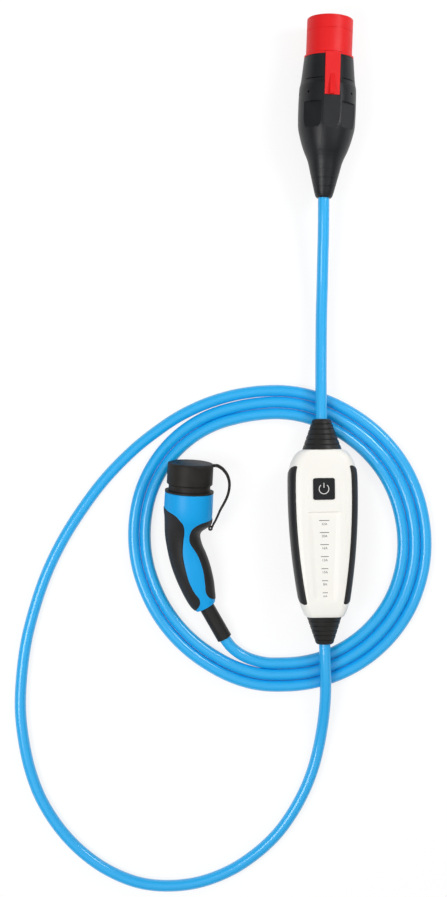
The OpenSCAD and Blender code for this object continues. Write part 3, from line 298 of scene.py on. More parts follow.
for nodeName, finish in cadFinish.items():
    nodes[nodeName].data.materials.clear()
    nodes[nodeName].data.materials.append(finish)
print("finishes made,", len(cadFinish), "solids dressed")

# place of the plug and of the connector, whose own frames have +Y out of the mating face
plugFrame = {"place": (6.8, 460, 38.76), "turn": -2.9}
connectorFrame = {"place": (-183.6, 58.7, 39.2), "lean": -3.8, "tilt": 8.0}


def plugPlace(points):
    points = np.asarray(points, float)
    a = math.radians(plugFrame["turn"])
    turn = np.array([[math.cos(a), -math.sin(a), 0], [math.sin(a), math.cos(a), 0], [0, 0, 1]])
    return points @ turn.T + plugFrame["place"]


def connectorPlace(points):
    points = np.asarray(points, float)
    a = math.radians(connectorFrame["lean"])
    b = math.radians(connectorFrame["tilt"])
    lean = np.array([[math.cos(a), -math.sin(a), 0], [math.sin(a), math.cos(a), 0], [0, 0, 1]])
    tilt = np.array([[1, 0, 0], [0, math.cos(b), -math.sin(b)], [0, math.sin(b), math.cos(b)]])
    return points @ (lean @ tilt).T + connectorFrame["place"]


# handle in its own frame, in millimetres: half widths to the back and to the front and half
# thickness, each by the place along the middle line; the hollow begins inFront behind the
# face and ends inBehind before the tail
handleForm = {
    "length": 165, "straight": 50, "bend": 205, "wall": 4, "noseHole": 24, "tailHole": 10.7, "lip": 1.4,
    "sleeve": 52, "inFront": 4, "inBehind": 7, "around": 73, "lipRows": 8, "rows": 120,
    "back": [[0, 33.3], [24, 33.5], [36, 32], [58, 30.5], [76, 28.3], [100, 25.7], [128, 22.3], [150, 20],
             [158, 18.5], [165, 15.5]],
    "front": [[0, 33.3], [34, 33.3], [43, 32.3], [48, 26.9], [53, 20.6], [58, 17.8], [64, 17.6], [72, 19],
              [80, 21], [88, 23.4], [104, 25.8], [120, 26], [137, 24], [152, 19.8], [159, 17.3], [165, 14.1]],
    "thick": [[0, 33.3], [22, 33.3], [36, 31], [52, 24.5], [66, 21.6], [90, 20.6], [112, 21], [135, 19.4],
              [152, 17], [165, 14.5]],
}


# middle line of the handle: straight, then an arc, and straight on behind the tail; a is
# the angle turned so far
def handleLine(s):
    s = np.asarray(s, float)
    a = np.maximum(0, np.minimum(s, handleForm["length"]) - handleForm["straight"]) / handleForm["bend"]
    behind = np.maximum(0, s - handleForm["length"])
    middle = np.stack([handleForm["bend"] * (1 - np.cos(a)) + behind * np.sin(a),
                       -np.minimum(s, handleForm["straight"]) - handleForm["bend"] * np.sin(a)
                       - behind * np.cos(a),
                       0 * a], -1)
    right = np.stack([np.cos(a), np.sin(a), 0 * a], -1)
    return middle, right


# point of the handle's surface at s along the middle line and phi round it, raised by lift:
# an ellipse whose width differs between front and back
def handlePoint(s, phi, lift=0.0):
    s, phi, lift = np.broadcast_arrays(np.asarray(s, float), phi, lift)
    middle, right = handleLine(s)
    lip = handleForm["lip"]
    soft = lip - np.sqrt(np.maximum(0, lip ** 2 - np.maximum(0, lip - s) ** 2))
    half = np.where(np.cos(phi) >= 0, smoothThrough(s, handleForm["front"]),
                    smoothThrough(s, handleForm["back"]))
    across = (half - soft + lift) * np.cos(phi)
    high = (smoothThrough(s, handleForm["thick"]) - soft + lift) * np.sin(phi)
    return middle + right * across[..., None] + np.array([0, 0, 1]) * high[..., None]


# cords: routes in millimetres; the loop has the solid's points, the coil is drawn out of round
cordForm = {"diameter": 15.9, "sides": 28, "spacing": 3.0, "level": 7.8}
supplyRoute = np.concatenate([
    [[0, 139, 31], [0, 156.5, 31], [0, 185, 29.5], [0.5, 220, 26], [1.5, 260, 22.5], [2.5, 300, 22],
     [4, 340, 24], [5, 375, 28], [6, 410, 33], [6.5, 440, 37]],
    plugPlace([[0, 0, 0], [0, 20, 0]])])
leadLoop = [
    [0, -136, 31], [0, -153.5, 31], [0.5, -180, 30], [1, -205, 27], [0.5, -230, 22], [-1.5, -255, 16],
    [-5, -280, 11], [-10, -305, 8.4], [-18, -333, 7.8], [-30, -362, 7.8], [-47, -392, 7.8],
    [-68, -420, 7.8], [-96, -446, 7.8], [-133, -470, 7.8], [-176, -486, 7.8], [-219, -491, 7.8],
    [-262, -486, 7.8], [-305, -468, 7.8], [-342, -441, 7.8], [-372, -408, 7.8], [-396, -369, 7.8],
    [-411, -329, 7.8], [-420, -286, 7.8], [-424, -243, 7.8], [-422, -200, 7.8], [-415, -150, 7.8],
    [-403, -104, 7.8], [-386, -56, 7.8], [-364, -11, 7.8], [-336, 33, 7.8], [-302, 77, 7.8],
    [-263, 116, 7.8], [-230, 142, 7.8], [-196, 164, 7.8], [-160, 180.5, 7.8], [-125, 191, 7.8],
    [-93, 196.2, 7.8], [-71, 197.5, 7.8], [-63, 197.5, 7.8]]
coilForm = {"start": (-63, 197.5), "radius": 208, "step": 4, "quarters": 10, "perQuarter": 110,
            "middle": (-57, -7),
            "drawn": [[-90, 0], [-80, 0.8], [-60, 2.1], [-45, 2.4], [-30, 2.1], [-20, 1.2], [-10, 0.5],
                      [0, -0.5], [10, -1.3], [30, -1.9], [45, -2.5], [60, -2.6], [70, -1.7], [80, -0.7],
                      [90, 0], [100, 0.3], [110, 2.0], [120, 5.2], [130, 7.5], [140, 8.7], [150, 8.8],
                      [160, 7.9], [170, 5.8], [180, 3.8], [190, 1.9], [200, -0.2], [210, -1.4],
                      [220, -2.2], [230, -2.5], [240, -2.2], [250, -0.6], [260, 0.5], [270, 0]]}


# the coil: quarter turns clockwise, each with a radius one step smaller than the last,
# and with its middle moved so that it goes on from the end of the last; drawn is how far
# all turns then move out, in millimetres, by their direction from the middle in degrees
def coilPath():
    middle = np.array(coilForm["start"]) - [0, coilForm["radius"]]
    parts = []
    for k in range(coilForm["quarters"]):
        radius = coilForm["radius"] - coilForm["step"] * k
        if k:
            a = -math.pi / 2 * (k - 1)
            middle = middle + coilForm["step"] * np.array([math.cos(a), math.sin(a)])
        part = np.arange(1, coilForm["perQuarter"] + 1) / coilForm["perQuarter"]
        turned = math.pi / 2 * (1 - k - part)
        parts.append(middle + radius * np.stack([np.cos(turned), np.sin(turned)], 1))
    flat = np.concatenate(parts)
    spoke = flat - coilForm["middle"]
    facing = (np.degrees(np.arctan2(spoke[:, 1], spoke[:, 0])) + 90) % 360 - 90
    out = smoothThrough(facing, coilForm["drawn"])[:, None]
    flat = flat + out * spoke / np.linalg.norm(spoke, axis=1, keepdims=True)
    return np.concatenate([flat, np.full((len(flat), 1), cordForm["level"])], 1)


coilPoints = coilPath()
coilStop = coilPoints[-1]
sleeveEnd = handleForm["length"] + handleForm["sleeve"]
# from the coil's end to the sleeve, and on inside it by the place on the handle's middle line
endForm = {"bend": [[0, 0, 0], [-9, 0, 0], [-17, 0.3, 0], [-25.5, 1.4, 0], [-35.2, 3.8, 0], [-45.3, 7.3, 0.2],
                    [-54.8, 12, 0.5], [-63.5, 18.1, 1], [-71.2, 25.4, 1.8]],
           "inSleeve": [1, -6, -16, -26]}
endRoute = np.concatenate([coilStop + np.array(endForm["bend"]),
                           connectorPlace(handleLine(sleeveEnd + np.array(endForm["inSleeve"]))[0])])
supplyPath = smoothPath(supplyRoute, cordForm["spacing"])
leadPath = np.concatenate([smoothPath(leadLoop, cordForm["spacing"]), coilPoints,
                           smoothPath(endRoute, cordForm["spacing"])[1:]])


# round tube along a path, with the attribute that its jacket reads
def makeCord(name, path):
    turned = np.linspace(0, 2 * math.pi, cordForm["sides"], endpoint=False)
    ring = np.stack([np.cos(turned), np.sin(turned)], 1)
    points, faces = carryProfile(path, ring * cordForm["diameter"] / 2)
    cord = makePiece(name, points, faces, cableBlue)
    step = np.linalg.norm(np.diff(path, axis=0), axis=1)
    length = np.concatenate([[0], np.cumsum(step)]) * 0.001
    around = np.tile(ring, (len(path), 1))
    value = np.concatenate([np.stack([np.repeat(length, len(ring)), around[:, 0], around[:, 1]], 1),
                            [[0, 0, 0], [length[-1], 0, 0]]])
    layer = cord.data.attributes.new("along", "FLOAT_VECTOR", "POINT")
    layer.data.foreach_set("vector", value.ravel())
    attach(cord, "unit")
    return cord, float(length[-1])


supplyCord, supplyLength = makeCord("supplyCord", supplyPath)
leadCord, leadLength = makeCord("leadCord", leadPath)
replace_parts(supplyCord, "supply_cable")
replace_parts(leadCord, "lead_cable", "lead_coil", "lead_end")
print("cords laid, %.3f m and %.3f m" % (supplyLength, leadLength))

# control box: outline seen from above is a wide bow with rounded ends, sections are
# squared ovals (power 0.5) with a flat top
boxForm = {"length": 229, "width": 94.6, "height": 62, "wall": 5, "bow": 880, "bowPlace": 56,
           "shoulder": 38, "foot": 22, "endWidth": 50, "endHeight": 52, "sealGap": 0.8, "neckHole": 14.1,
           "flat": 1.05}
channelForm = {"top": 30, "low": -94.4, "depth": 2.3, "topWidth": 45, "lowWidth": 32, "slope": 5.5,
               "fade": 8, "topSlope": 0.8, "browDrop": 0.4, "browTop": 88, "browSlope": 1.2,
               "browWidth": 34, "browFade": 12, "browStart": 6, "browEnd": 26}


# how far the box has closed in at y, from 0 along its sides to 1 at its ends
def endFall(y):
    half = boxForm["length"] / 2
    upper = (y - half + boxForm["shoulder"]) / boxForm["shoulder"]
    lower = (-y - half + boxForm["foot"]) / boxForm["foot"]
    t = np.clip(np.where(y > 0, upper, lower), 0, 1)
    return 1 - np.sqrt(1 - t * t)


# half width and half height of the section at y
def boxHalves(y):
    sink = boxForm["bow"] - np.sqrt(boxForm["bow"] ** 2 - (y - boxForm["bowPlace"]) ** 2)
    bowed = boxForm["width"] / 2 - sink
    wide = bowed - (bowed - boxForm["endWidth"] / 2) * endFall(y)
    high = boxForm["height"] / 2 - (boxForm["height"] - boxForm["endHeight"]) / 2 * endFall(y)
    return wide, high


# point of the box: phi runs from 0 at the right seam over the top to pi at the left seam
def boxPoint(y, phi, lift=0.0, side=1, gap=None):
    y, phi, lift = np.broadcast_arrays(np.asarray(y, float), phi, lift)
    wide, high = boxHalves(y)
    gap = boxForm["sealGap"] / 2 if gap is None else gap
    c = np.cos(phi)
    x = (wide + lift) * np.sign(c) * np.sqrt(np.abs(c))
    rise = np.minimum(1, boxForm["flat"] * np.sqrt(np.abs(np.sin(phi))))
    z = boxForm["height"] / 2 + side * (gap + (high + lift - gap) * rise)
    return np.stack([x, y, z], -1)


# how far the top face lies below the plain form: the channel with sloping sides, and
# beside the panel a low shoulder that carries the channel's edges on
def topDrop(x, y):
    f = channelForm
    t = np.clip((y - f["low"]) / (f["top"] - f["low"]), 0, 1)
    half = f["lowWidth"] / 2 + (f["topWidth"] - f["lowWidth"]) / 2 * t
    across = np.clip((half - np.abs(x)) / f["slope"], 0, 1)
    along = np.clip((f["top"] - y) / f["topSlope"], 0, 1) * np.clip((y - f["low"]) / f["fade"], 0, 1)
    brow = np.clip((np.abs(x) - f["topWidth"] / 2) / f["browSlope"], 0, 1)
    brow = brow * np.clip((f["browWidth"] - np.abs(x)) / f["browFade"], 0, 1)
    brow = brow * np.clip((y - f["top"] + f["browStart"]) / f["browStart"], 0, 1)
    brow = brow * np.clip((f["browTop"] - y) / f["browEnd"], 0, 1)
    return f["depth"] * across * along + f["browDrop"] * brow


# even steps along the outline of a typical section, as angles
def evenAngles(count, samples=2001):
    phi = np.linspace(0, math.pi, samples)
    line = boxPoint(0 * phi, phi)
    run = np.concatenate([[0], np.cumsum(np.linalg.norm(np.diff(line, axis=0), axis=1))])
    return np.interp(np.linspace(0, run[-1], count), run, phi)


# rows and columns of a cover, with the rows closer together at the channel's upper edge
coverForm = {"around": 131, "endRows": 26, "upperRows": 38, "edgeRows": 9, "lowerRows": 96,
             "upperEnd": 31.5, "edge": (31.2, 28.8), "lowerStart": 28}


def makeCover(name, side, finish):
    f = coverForm
    half = boxForm["length"] / 2
    phi = evenAngles(f["around"])
    bend = np.radians(np.linspace(90, 0, f["endRows"]))
    up = half - boxForm["shoulder"] * (1 - np.sin(bend))
    down = -half + boxForm["foot"] * (1 - np.sin(bend[::-1]))
    middle = np.concatenate([np.linspace(up[-1], f["upperEnd"], f["upperRows"])[1:],
                             np.linspace(*f["edge"], f["edgeRows"]),
                             np.linspace(f["lowerStart"], down[0], f["lowerRows"])[:-1]])
    y = np.concatenate([up, middle, down])
    outer = boxPoint(y[:, None], phi, 0, side)
    if side > 0:
        outer[..., 2] -= topDrop(outer[..., 0], outer[..., 1])
    shrink = 1 - boxForm["wall"] / half
    inner = boxPoint(y[::-1, None], phi, -boxForm["wall"], side)
    inner[..., 1] *= shrink
    round1 = np.stack([boxForm["neckHole"] * np.cos(phi), 0 * phi,
                       boxForm["height"] / 2 + side * boxForm["neckHole"] * np.sin(phi)], -1)
    hole = [round1 + [0, place, 0] for place in (half, -half, -half * shrink, half * shrink)]
    rows = np.concatenate([hole[0][None], outer, hole[1][None], hole[2][None], inner, hole[3][None]])
    cover = makePiece(name, rows, shellFaces(rows.shape[0], rows.shape[1]), finish, crease=32)
    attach(cover, "unit")
    return cover


topCover = makeCover("topCover", 1, boxWhite)
bottomCover = makeCover("bottomCover", -1, boxWhite)
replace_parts(topCover, "box_top_cover")
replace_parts(bottomCover, "box_bottom_cover")
print("box covers made")

# ribbed glands, turned about the box's middle line: an even taper from base to end, less a
# wave 0.5 + 0.5 cos(pi t) of the given depth at each groove, and a neck behind it that goes
# through the end wall
glandForm = {"upper": {"side": 1, "base": 27.3, "end": 12.4, "length": 42},
             "lower": {"side": -1, "base": 24.6, "end": 11.8, "length": 39},
             "neck": 14, "neckLength": 13, "bore": 8.1, "seat": 0.2, "ribs": 6, "groove": 0.9, "depth": 0.9,
             "rim": 2.4, "rimDrop": 1.6, "rows": 150, "sides": 72}


def makeGland(name, f):
    g = glandForm
    y = np.linspace(g["seat"], f["length"], g["rows"])
    r = f["base"] + (f["end"] - f["base"]) * y / f["length"]
    for k in range(1, g["ribs"]):
        off = np.clip((y - f["length"] * k / g["ribs"]) / g["groove"], -1, 1)
        r = r - g["depth"] * (0.5 + 0.5 * np.cos(math.pi * off))
    r = r - g["rimDrop"] * np.clip((y - f["length"] + g["rim"]) / g["rim"], 0, 1) ** 2
    neck = [[g["bore"], -g["neckLength"]], [g["neck"], -g["neckLength"]], [g["neck"], g["seat"]]]
    outline = np.concatenate([neck, np.stack([r, y], 1), [[g["bore"], f["length"]]]])
    turned = np.linspace(0, 2 * math.pi, g["sides"], endpoint=False)[None, :]
    points = np.stack([outline[:, :1] * np.cos(turned),
                       f["side"] * (boxForm["length"] / 2 + outline[:, 1:]) + 0 * turned,
                       boxForm["height"] / 2 + outline[:, :1] * np.sin(turned)], -1)
    faces = [gridFaces(len(outline), g["sides"], closeRows=True, closeCols=True)]
    gland = makePiece(name, points, faces, glandRubber)
    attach(gland, "unit")
    return gland


glandUpper = makeGland("glandUpper", glandForm["upper"])
glandLower = makeGland("glandLower", glandForm["lower"])
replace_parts(glandUpper, "gland_upper")
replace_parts(glandLower, "gland_lower")
print("glands made")

# side grips: a strip round the side of the box, slanted at its ends, whose edges roll
# over and go under the white surface
sideGripForm = {"top": 95, "topSide": 85, "low": -98.6, "lowSide": -92, "over": 9.8, "under": 4,
                "proud": 0.7, "dive": 1.0, "roll": 2.2, "corner": 5, "cornerPart": 0.14, "turnFrom": 0.45,
                "thick": 1.6, "rows": 130, "cols": 70, "samples": 1001}


# height of a soft edge by the distance from it: a quarter of an ellipse up from below the skin
def rollOver(distance, form):
    t = np.clip(distance / form["roll"], 0, 1)
    return -form["dive"] + (form["proud"] + form["dive"]) * np.sqrt(1 - (1 - t) ** 2)


# steps from 0 to 1 that are closer together at both ends
def easeSteps(count):
    return 0.5 - 0.5 * np.cos(np.linspace(0, math.pi, count))


def makeSideGrip(name, hand):
    f = sideGripForm
    u, v = np.meshgrid(easeSteps(f["rows"]), easeSteps(f["cols"]), indexing="ij")
    # v runs from under the box over its side to the top, 0 to 1
    turnIn = np.clip((v - f["turnFrom"]) / (1 - f["turnFrom"]), 0, 1)
    edge = np.minimum(v, 1 - v)
    corner = f["corner"] * (1 - np.sqrt(1 - np.clip(1 - edge / f["cornerPart"], 0, 1) ** 2))
    top = f["topSide"] + (f["top"] - f["topSide"]) * turnIn - corner
    low = f["lowSide"] + (f["low"] - f["lowSide"]) * turnIn + corner
    y = low + (top - low) * u
    wide = boxHalves(y)[0]

    def reach(over):
        return np.arccos(np.clip((wide - over) / wide, 0, 1) ** 2)

    phi = np.linspace(0, math.pi / 2, f["samples"])
    line = boxPoint(0 * phi, phi, gap=0)
    run = np.concatenate([[0], np.cumsum(np.linalg.norm(np.diff(line, axis=0), axis=1))])
    overRun = np.interp(reach(f["over"]), phi, run)
    underRun = np.interp(reach(f["under"]), phi, run)
    at = -underRun + (overRun + underRun) * v
    angle = np.interp(np.abs(at), run, phi)
    near = np.minimum(edge * (overRun + underRun), np.minimum(u, 1 - u) * (top - low))
    lift = rollOver(near, f)
    upper = boxPoint(y, angle, lift, 1, gap=0)
    lower = boxPoint(y, angle, lift, -1, gap=0)
    skin = np.where((at >= 0)[..., None], upper, lower)
    upper = boxPoint(y, angle, lift - f["thick"], 1, gap=0)
    lower = boxPoint(y, angle, lift - f["thick"], -1, gap=0)
    back = np.where((at >= 0)[..., None], upper, lower)
    both = np.stack([skin, back])
    both[..., 0] *= hand
    grip = makePiece(name, both, slabFaces(*u.shape), gripRubber, crease=60)
    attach(grip, "unit")
    return grip


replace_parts(makeSideGrip("sideGripLeft", -1), "side_grip_left")
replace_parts(makeSideGrip("sideGripRight", 1), "side_grip_right")
print("side grips made")

# scale in the channel: seven dashes that grow shorter, each with its number below
scaleForm = {"first": 18.0, "pitch": 16.4, "longest": 14, "shortest": 7, "dash": 0.9, "numberGap": 3.0,
             "numberHeight": 3.4, "numbers": ["32A", "20A", "16A", "13A", "10A", "8A", "6A"],
             "thick": 0.06, "sunk": 0.2, "letterSize": 1.4, "letterDepth": 0.13, "letterSteps": 3}


def makeScale():
    f = scaleForm
    ground = boxForm["height"] - channelForm["depth"]
    corners = []
    faces = []
    for k, number in enumerate(f["numbers"]):
        y = f["first"] - f["pitch"] * k
        width = f["longest"] + (f["shortest"] - f["longest"]) * k / (len(f["numbers"]) - 1)
        sx = np.array([-1, 1, 1, -1, -1, 1, 1, -1]) * width / 2
        sy = np.array([-1, -1, 1, 1, -1, -1, 1, 1]) * f["dash"] / 2
        sz = np.repeat([-f["sunk"], f["thick"]], 4)
        start = sum(len(c) for c in corners)
        corners.append(np.stack([sx, y + sy, ground + sz], 1))
        faces += (start + np.array([[0, 3, 2, 1], [4, 5, 6, 7], [0, 1, 5, 4], [1, 2, 6, 5], [2, 3, 7, 6],
                                    [3, 0, 4, 7]])).tolist()
        letters = bpy.data.curves.new("number", "FONT")
        letters.body = number
        letters.align_x = "CENTER"
        letters.size = f["numberHeight"] * f["letterSize"]
        letters.extrude = f["letterDepth"]
        letters.resolution_u = f["letterSteps"]
        holder = bpy.data.objects.new("number", letters)
        scene.collection.objects.link(holder)
        bpy.context.view_layer.update()
        flat = bpy.data.meshes.new_from_object(holder.evaluated_get(bpy.context.evaluated_depsgraph_get()))
        spots = np.empty(len(flat.vertices) * 3)
        flat.vertices.foreach_get("co", spots)
        spots = spots.reshape(-1, 3) + [0, y - f["numberGap"] - f["numberHeight"],
                                        ground + f["thick"] - f["letterDepth"]]
        start += 8
        corners.append(spots)
        faces += [[start + i for i in p.vertices] for p in flat.polygons]
        bpy.data.objects.remove(holder)
        bpy.data.curves.remove(letters)
        bpy.data.meshes.remove(flat)
    mesh = bpy.data.meshes.new("scaleMarks")
    mesh.from_pydata((np.concatenate(corners) * 0.001).tolist(), [], faces)
    mesh.materials.append(markGrey)
    marks = bpy.data.objects.new("scaleMarks", mesh)
    scene.collection.objects.link(marks)
    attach(marks, "unit")


makeScale()

# sign on the touch field: a ring open at the top and a bar in the gap, printed on the plate
signForm = {"middle": (0, 61), "radius": 6.6, "line": 1.0, "gap": 38, "bar": (1.5, 8.2), "thick": 0.05,
            "sunk": 0.2, "ringPoints": 72, "barPoints": 12}


def makeSign():
    f = signForm
    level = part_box("touch_field")[1][2] * 1000
    turned = np.radians(np.linspace(90 + f["gap"], 450 - f["gap"], f["ringPoints"]))
    ring = np.stack([np.cos(turned), np.sin(turned)], 1) * f["radius"]
    bar = np.stack([np.zeros(f["barPoints"]), np.linspace(*f["bar"], f["barPoints"])], 1)
    half = f["line"] / 2
    block = np.array([[-half, -f["sunk"]], [half, -f["sunk"]], [half, f["thick"]], [-half, f["thick"]]])
    for name, line in (("signRing", ring), ("signBar", bar)):
        path = np.column_stack([line + f["middle"], np.full(len(line), level)])
        points, faces = carryProfile(path, block)
        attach(makePiece(name, points, faces, signWhite, crease=30), "unit")


makeSign()
print("scale and sign printed")


# handle shells: the upper and the lower half of the same hollow body
def makeHandleShell(name, side):
    f = handleForm
    phi = np.linspace(0, math.pi, f["around"])
    s = np.concatenate([np.linspace(0, f["lip"], f["lipRows"])[:-1],
                        np.linspace(f["lip"], f["length"], f["rows"])])
    outer = handlePoint(s[:, None], phi)
    into = f["inFront"] + s[::-1] * (f["length"] - f["inFront"] - f["inBehind"]) / f["length"]
    inner = handlePoint(into[:, None], phi, -f["wall"])

    def roundHole(place, radius):
        middle, right = handleLine(place)
        return (middle + right * (radius * np.cos(phi))[:, None]
                + np.array([0, 0, 1]) * (radius * np.sin(phi))[:, None])

    rows = np.concatenate([roundHole(0, f["noseHole"])[None], outer,
                           roundHole(f["length"], f["tailHole"])[None],
                           roundHole(into[0], f["tailHole"])[None], inner,
                           roundHole(into[-1], f["noseHole"])[None]])
    rows[..., 2] *= side
    faces = shellFaces(rows.shape[0], rows.shape[1])
    shell = makePiece(name, connectorPlace(rows), faces, handleBlue, crease=45)
    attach(shell, "unit")
    return shell


shellUpper = makeHandleShell("handleShellUpper", 1)
shellLower = makeHandleShell("handleShellLower", -1)
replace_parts(shellUpper, "handle_shell_upper")
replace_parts(shellLower, "handle_shell_lower")

# soft pads on the handle: edge is how far from the middle line the pad begins, seen from
# above; the ends close in a round of the given length
backPadForm = {"range": (21.5, 163), "middle": math.pi, "round": (9, 5), "proud": 0.6, "dive": 1.0,
               "roll": 1.8,
               "edge": [[24, 24], [29, 16.2], [36, 9], [42, 4.6], [52, 2.8], [63, 3.9], [82, 6.2],
                        [103, 6], [124, 5.6], [140, 3.4], [148, 1.4], [155, 3.4], [160, 8.8]],
               "half": "back"}
frontPadForm = {"range": (35.5, 161.5), "middle": 0.0, "round": (4, 5), "proud": 0.6, "dive": 1.0,
                "roll": 1.8,
                "edge": [[36, 24], [38, 20], [42, 12.6], [46, 8], [50, 5.4], [57, 3.4], [64, 3],
                         [70, 4.6], [77, 8.2], [85, 11.8], [92, 13.8], [104, 15.6], [116, 15.6],
                         [131, 13], [145, 9.4], [153, 10.4], [158, 13]],
                "half": "front"}


# both pads: rows and columns, thickness, and the limits that keep their ends from closing up
padForm = {"rows": 170, "cols": 65, "thick": 1.6, "edgeLimit": 0.98, "endLimit": 0.0004}


def makePad(name, f):
    p = padForm
    s = (f["range"][0] + (f["range"][1] - f["range"][0]) * easeSteps(p["rows"]))[:, None]
    v = np.sin(np.linspace(-math.pi / 2, math.pi / 2, p["cols"]))[None, :]
    half = smoothThrough(s, handleForm[f["half"]])
    reach = np.arccos(np.clip(smoothThrough(s, f["edge"]) / half, -1, p["edgeLimit"]))
    for fromEnd, span in ((s - f["range"][0], f["round"][0]), (f["range"][1] - s, f["round"][1])):
        reach = reach * np.sqrt(np.maximum(p["endLimit"], 1 - np.clip(1 - fromEnd / span, 0, 1) ** 2))
    near = (1 - np.abs(v)) * reach * (half + smoothThrough(s, handleForm["thick"])) / 2
    lift = rollOver(near, f)
    phi = f["middle"] + v * reach
    both = np.stack([handlePoint(s, phi, lift), handlePoint(s, phi, lift - p["thick"])])
    pad = makePiece(name, connectorPlace(both), slabFaces(*phi.shape), gripRubber, crease=60)
    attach(pad, "unit")
    return pad


backPad = makePad("backPad", backPadForm)
frontPad = makePad("frontPad", frontPadForm)
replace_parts(backPad, "grip_back")
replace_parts(frontPad, "grip_front")
print("handle made")

# cap strap: a flat band with rounded edges from the cap's ear to the lug on the handle
strapForm = {"width": 7, "thick": 4.5, "taper": 0.38, "lug": (31.63, -48.84), "lugTurn": -20,
             "spacing": 1.2, "sides": 32, "square": 0.5}


# point beside the lug, in a frame that is turned towards the strap
def lugPlace(x, y):
    a = math.radians(strapForm["lugTurn"])
    return [strapForm["lug"][0] + x * math.cos(a) - y * math.sin(a),
            strapForm["lug"][1] + x * math.sin(a) + y * math.cos(a)]


strapRoute = [[34.6, 38.5], [37, 38.5], [41, 36.5], [44.5, 34.2], [50.5, 27], [54, 18], [54.6, 8],
              [52.6, -3], [48.6, -13], [43.8, -23], [40.6, -31.5], lugPlace(2.2, 11.5), lugPlace(1.6, 6.7)]
strapRoute = np.array([[x, y, 0] for x, y in strapRoute])


def makeStrap():
    f = strapForm
    path = smoothPath(strapRoute, f["spacing"])
    turned = np.linspace(0, 2 * math.pi, f["sides"], endpoint=False)
    ring = np.stack([np.cos(turned), np.sin(turned)], 1)
    band = np.sign(ring) * np.abs(ring) ** f["square"] * [f["thick"] / 2, f["width"] / 2]
    points, faces = carryProfile(path, band, 1 - f["taper"] * np.linspace(0, 1, len(path)))
    strap = makePiece("capStrap", connectorPlace(points), faces, capBlack, crease=50)
    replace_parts(strap, "cap_tether")
    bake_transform(strap)
    return strap


strap = makeStrap()
print("strap made")

# floor and light: the floor is a pale sheet, which looks brighter to the camera, mirrors and
# glass than to the rays that light the object; the room is white at the horizon, dim above
# it and bright overhead, as (height, brightness)
stageForm = {"size": 8, "paper": 0.80, "shade": 0.22, "glow": 0.80, "below": 0.0005}
skyForm = [(0.06, 1.0), (0.16, 0.22), (0.5, 0.28), (0.8, 0.6), (1.0, 0.8)]

floorMesh = bpy.data.meshes.new("floor")
floorHalf = stageForm["size"] / 2
floorLevel = -stageForm["below"]
floorCorners = [(-floorHalf, -floorHalf, floorLevel), (floorHalf, -floorHalf, floorLevel),
                (floorHalf, floorHalf, floorLevel), (-floorHalf, floorHalf, floorLevel)]
floorMesh.from_pydata(floorCorners, [], [(0, 1, 2, 3)])
floorPaper = bpy.data.materials.new("floorPaper")
floorPaper.use_nodes = True
tree = floorPaper.node_tree
tree.nodes.remove(tree.nodes["Principled BSDF"])
rays = tree.nodes.new("ShaderNodeLightPath")
paper = tree.nodes.new("ShaderNodeBsdfDiffuse")
paper.inputs["Color"].default_value = (stageForm["paper"],) * 3 + (1,)
shade = tree.nodes.new("ShaderNodeBsdfDiffuse")
shade.inputs["Color"].default_value = (stageForm["shade"],) * 3 + (1,)
glow = tree.nodes.new("ShaderNodeEmission")
glow.inputs["Strength"].default_value = stageForm["glow"]
seen = tree.nodes.new("ShaderNodeAddShader")
mix = tree.nodes.new("ShaderNodeMixShader")


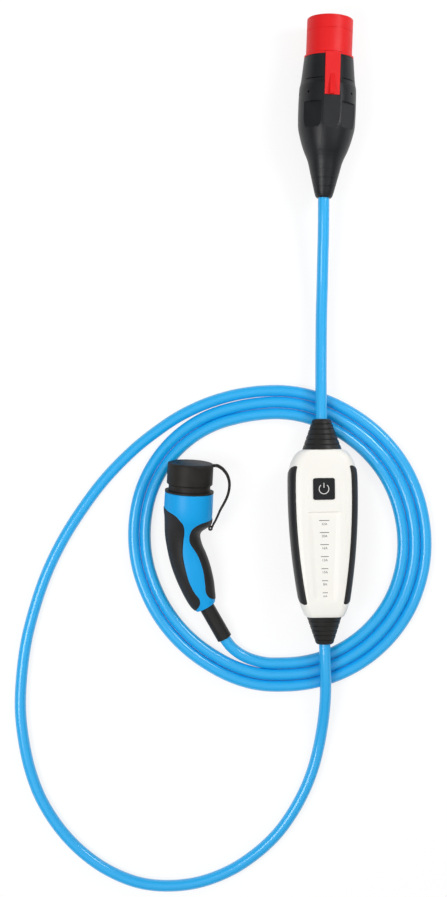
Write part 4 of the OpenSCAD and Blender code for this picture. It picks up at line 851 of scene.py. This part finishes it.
# 1 for rays that come from the camera, a mirror or glass
def seenRay(tree, rays):
    first = tree.nodes.new("ShaderNodeMath")
    first.operation = "MAXIMUM"
    second = tree.nodes.new("ShaderNodeMath")
    second.operation = "MAXIMUM"
    tree.links.new(rays.outputs["Is Camera Ray"], first.inputs[0])
    tree.links.new(rays.outputs["Is Glossy Ray"], first.inputs[1])
    tree.links.new(first.outputs[0], second.inputs[0])
    tree.links.new(rays.outputs["Is Transmission Ray"], second.inputs[1])
    return second.outputs[0]


tree.links.new(seenRay(tree, rays), mix.inputs["Fac"])
tree.links.new(shade.outputs[0], seen.inputs[0])
tree.links.new(glow.outputs[0], seen.inputs[1])
tree.links.new(paper.outputs[0], mix.inputs[1])
tree.links.new(seen.outputs[0], mix.inputs[2])
tree.links.new(mix.outputs[0], tree.nodes["Material Output"].inputs["Surface"])
floorMesh.materials.append(floorPaper)
floor = bpy.data.objects.new("floor", floorMesh)
scene.collection.objects.link(floor)

world = bpy.data.worlds.new("studio")
scene.world = world
world.use_nodes = True
tree = world.node_tree
coords = tree.nodes.new("ShaderNodeTexCoord")
split = tree.nodes.new("ShaderNodeSeparateXYZ")
sky = tree.nodes.new("ShaderNodeValToRGB")
for stop in skyForm[1:-1]:
    sky.color_ramp.elements.new(stop[0])
for stop, (height, bright) in zip(sky.color_ramp.elements, skyForm):
    stop.position = height
    stop.color = (bright, bright, bright, 1)
tree.links.new(coords.outputs["Generated"], split.inputs[0])
tree.links.new(split.outputs["Z"], sky.inputs["Fac"])
tree.links.new(sky.outputs["Color"], tree.nodes["Background"].inputs["Color"])

# lamps: places in metres, power in watts
lampForm = {"key": {"place": (-1.1, -0.2, 1.7), "aim": (-0.1, 0.1, 0), "size": 0.85, "power": 15.9},
            "side": {"place": (0.75, 0.75, 0.9), "aim": (0.02, 0.58, 0.03), "size": 0.4, "power": 5.8},
            "fill": {"place": (1.3, -0.5, 1.8), "aim": (-0.1, 0.1, 0), "size": 1.6, "power": 2.5}}
for lampName, f in lampForm.items():
    lampData = bpy.data.lights.new(lampName, "AREA")
    lampData.size = f["size"]
    lampData.energy = f["power"]
    lamp = bpy.data.objects.new(lampName, lampData)
    aim = np.array(f["aim"]) - f["place"]
    lamp.location = f["place"]
    lamp.rotation_euler = (0, math.acos(-aim[2] / np.linalg.norm(aim)), math.atan2(-aim[1], -aim[0]))
    scene.collection.objects.link(lamp)
scene.view_settings.view_transform = "Standard"
print("stage lit")

bpy.context.view_layer.update()
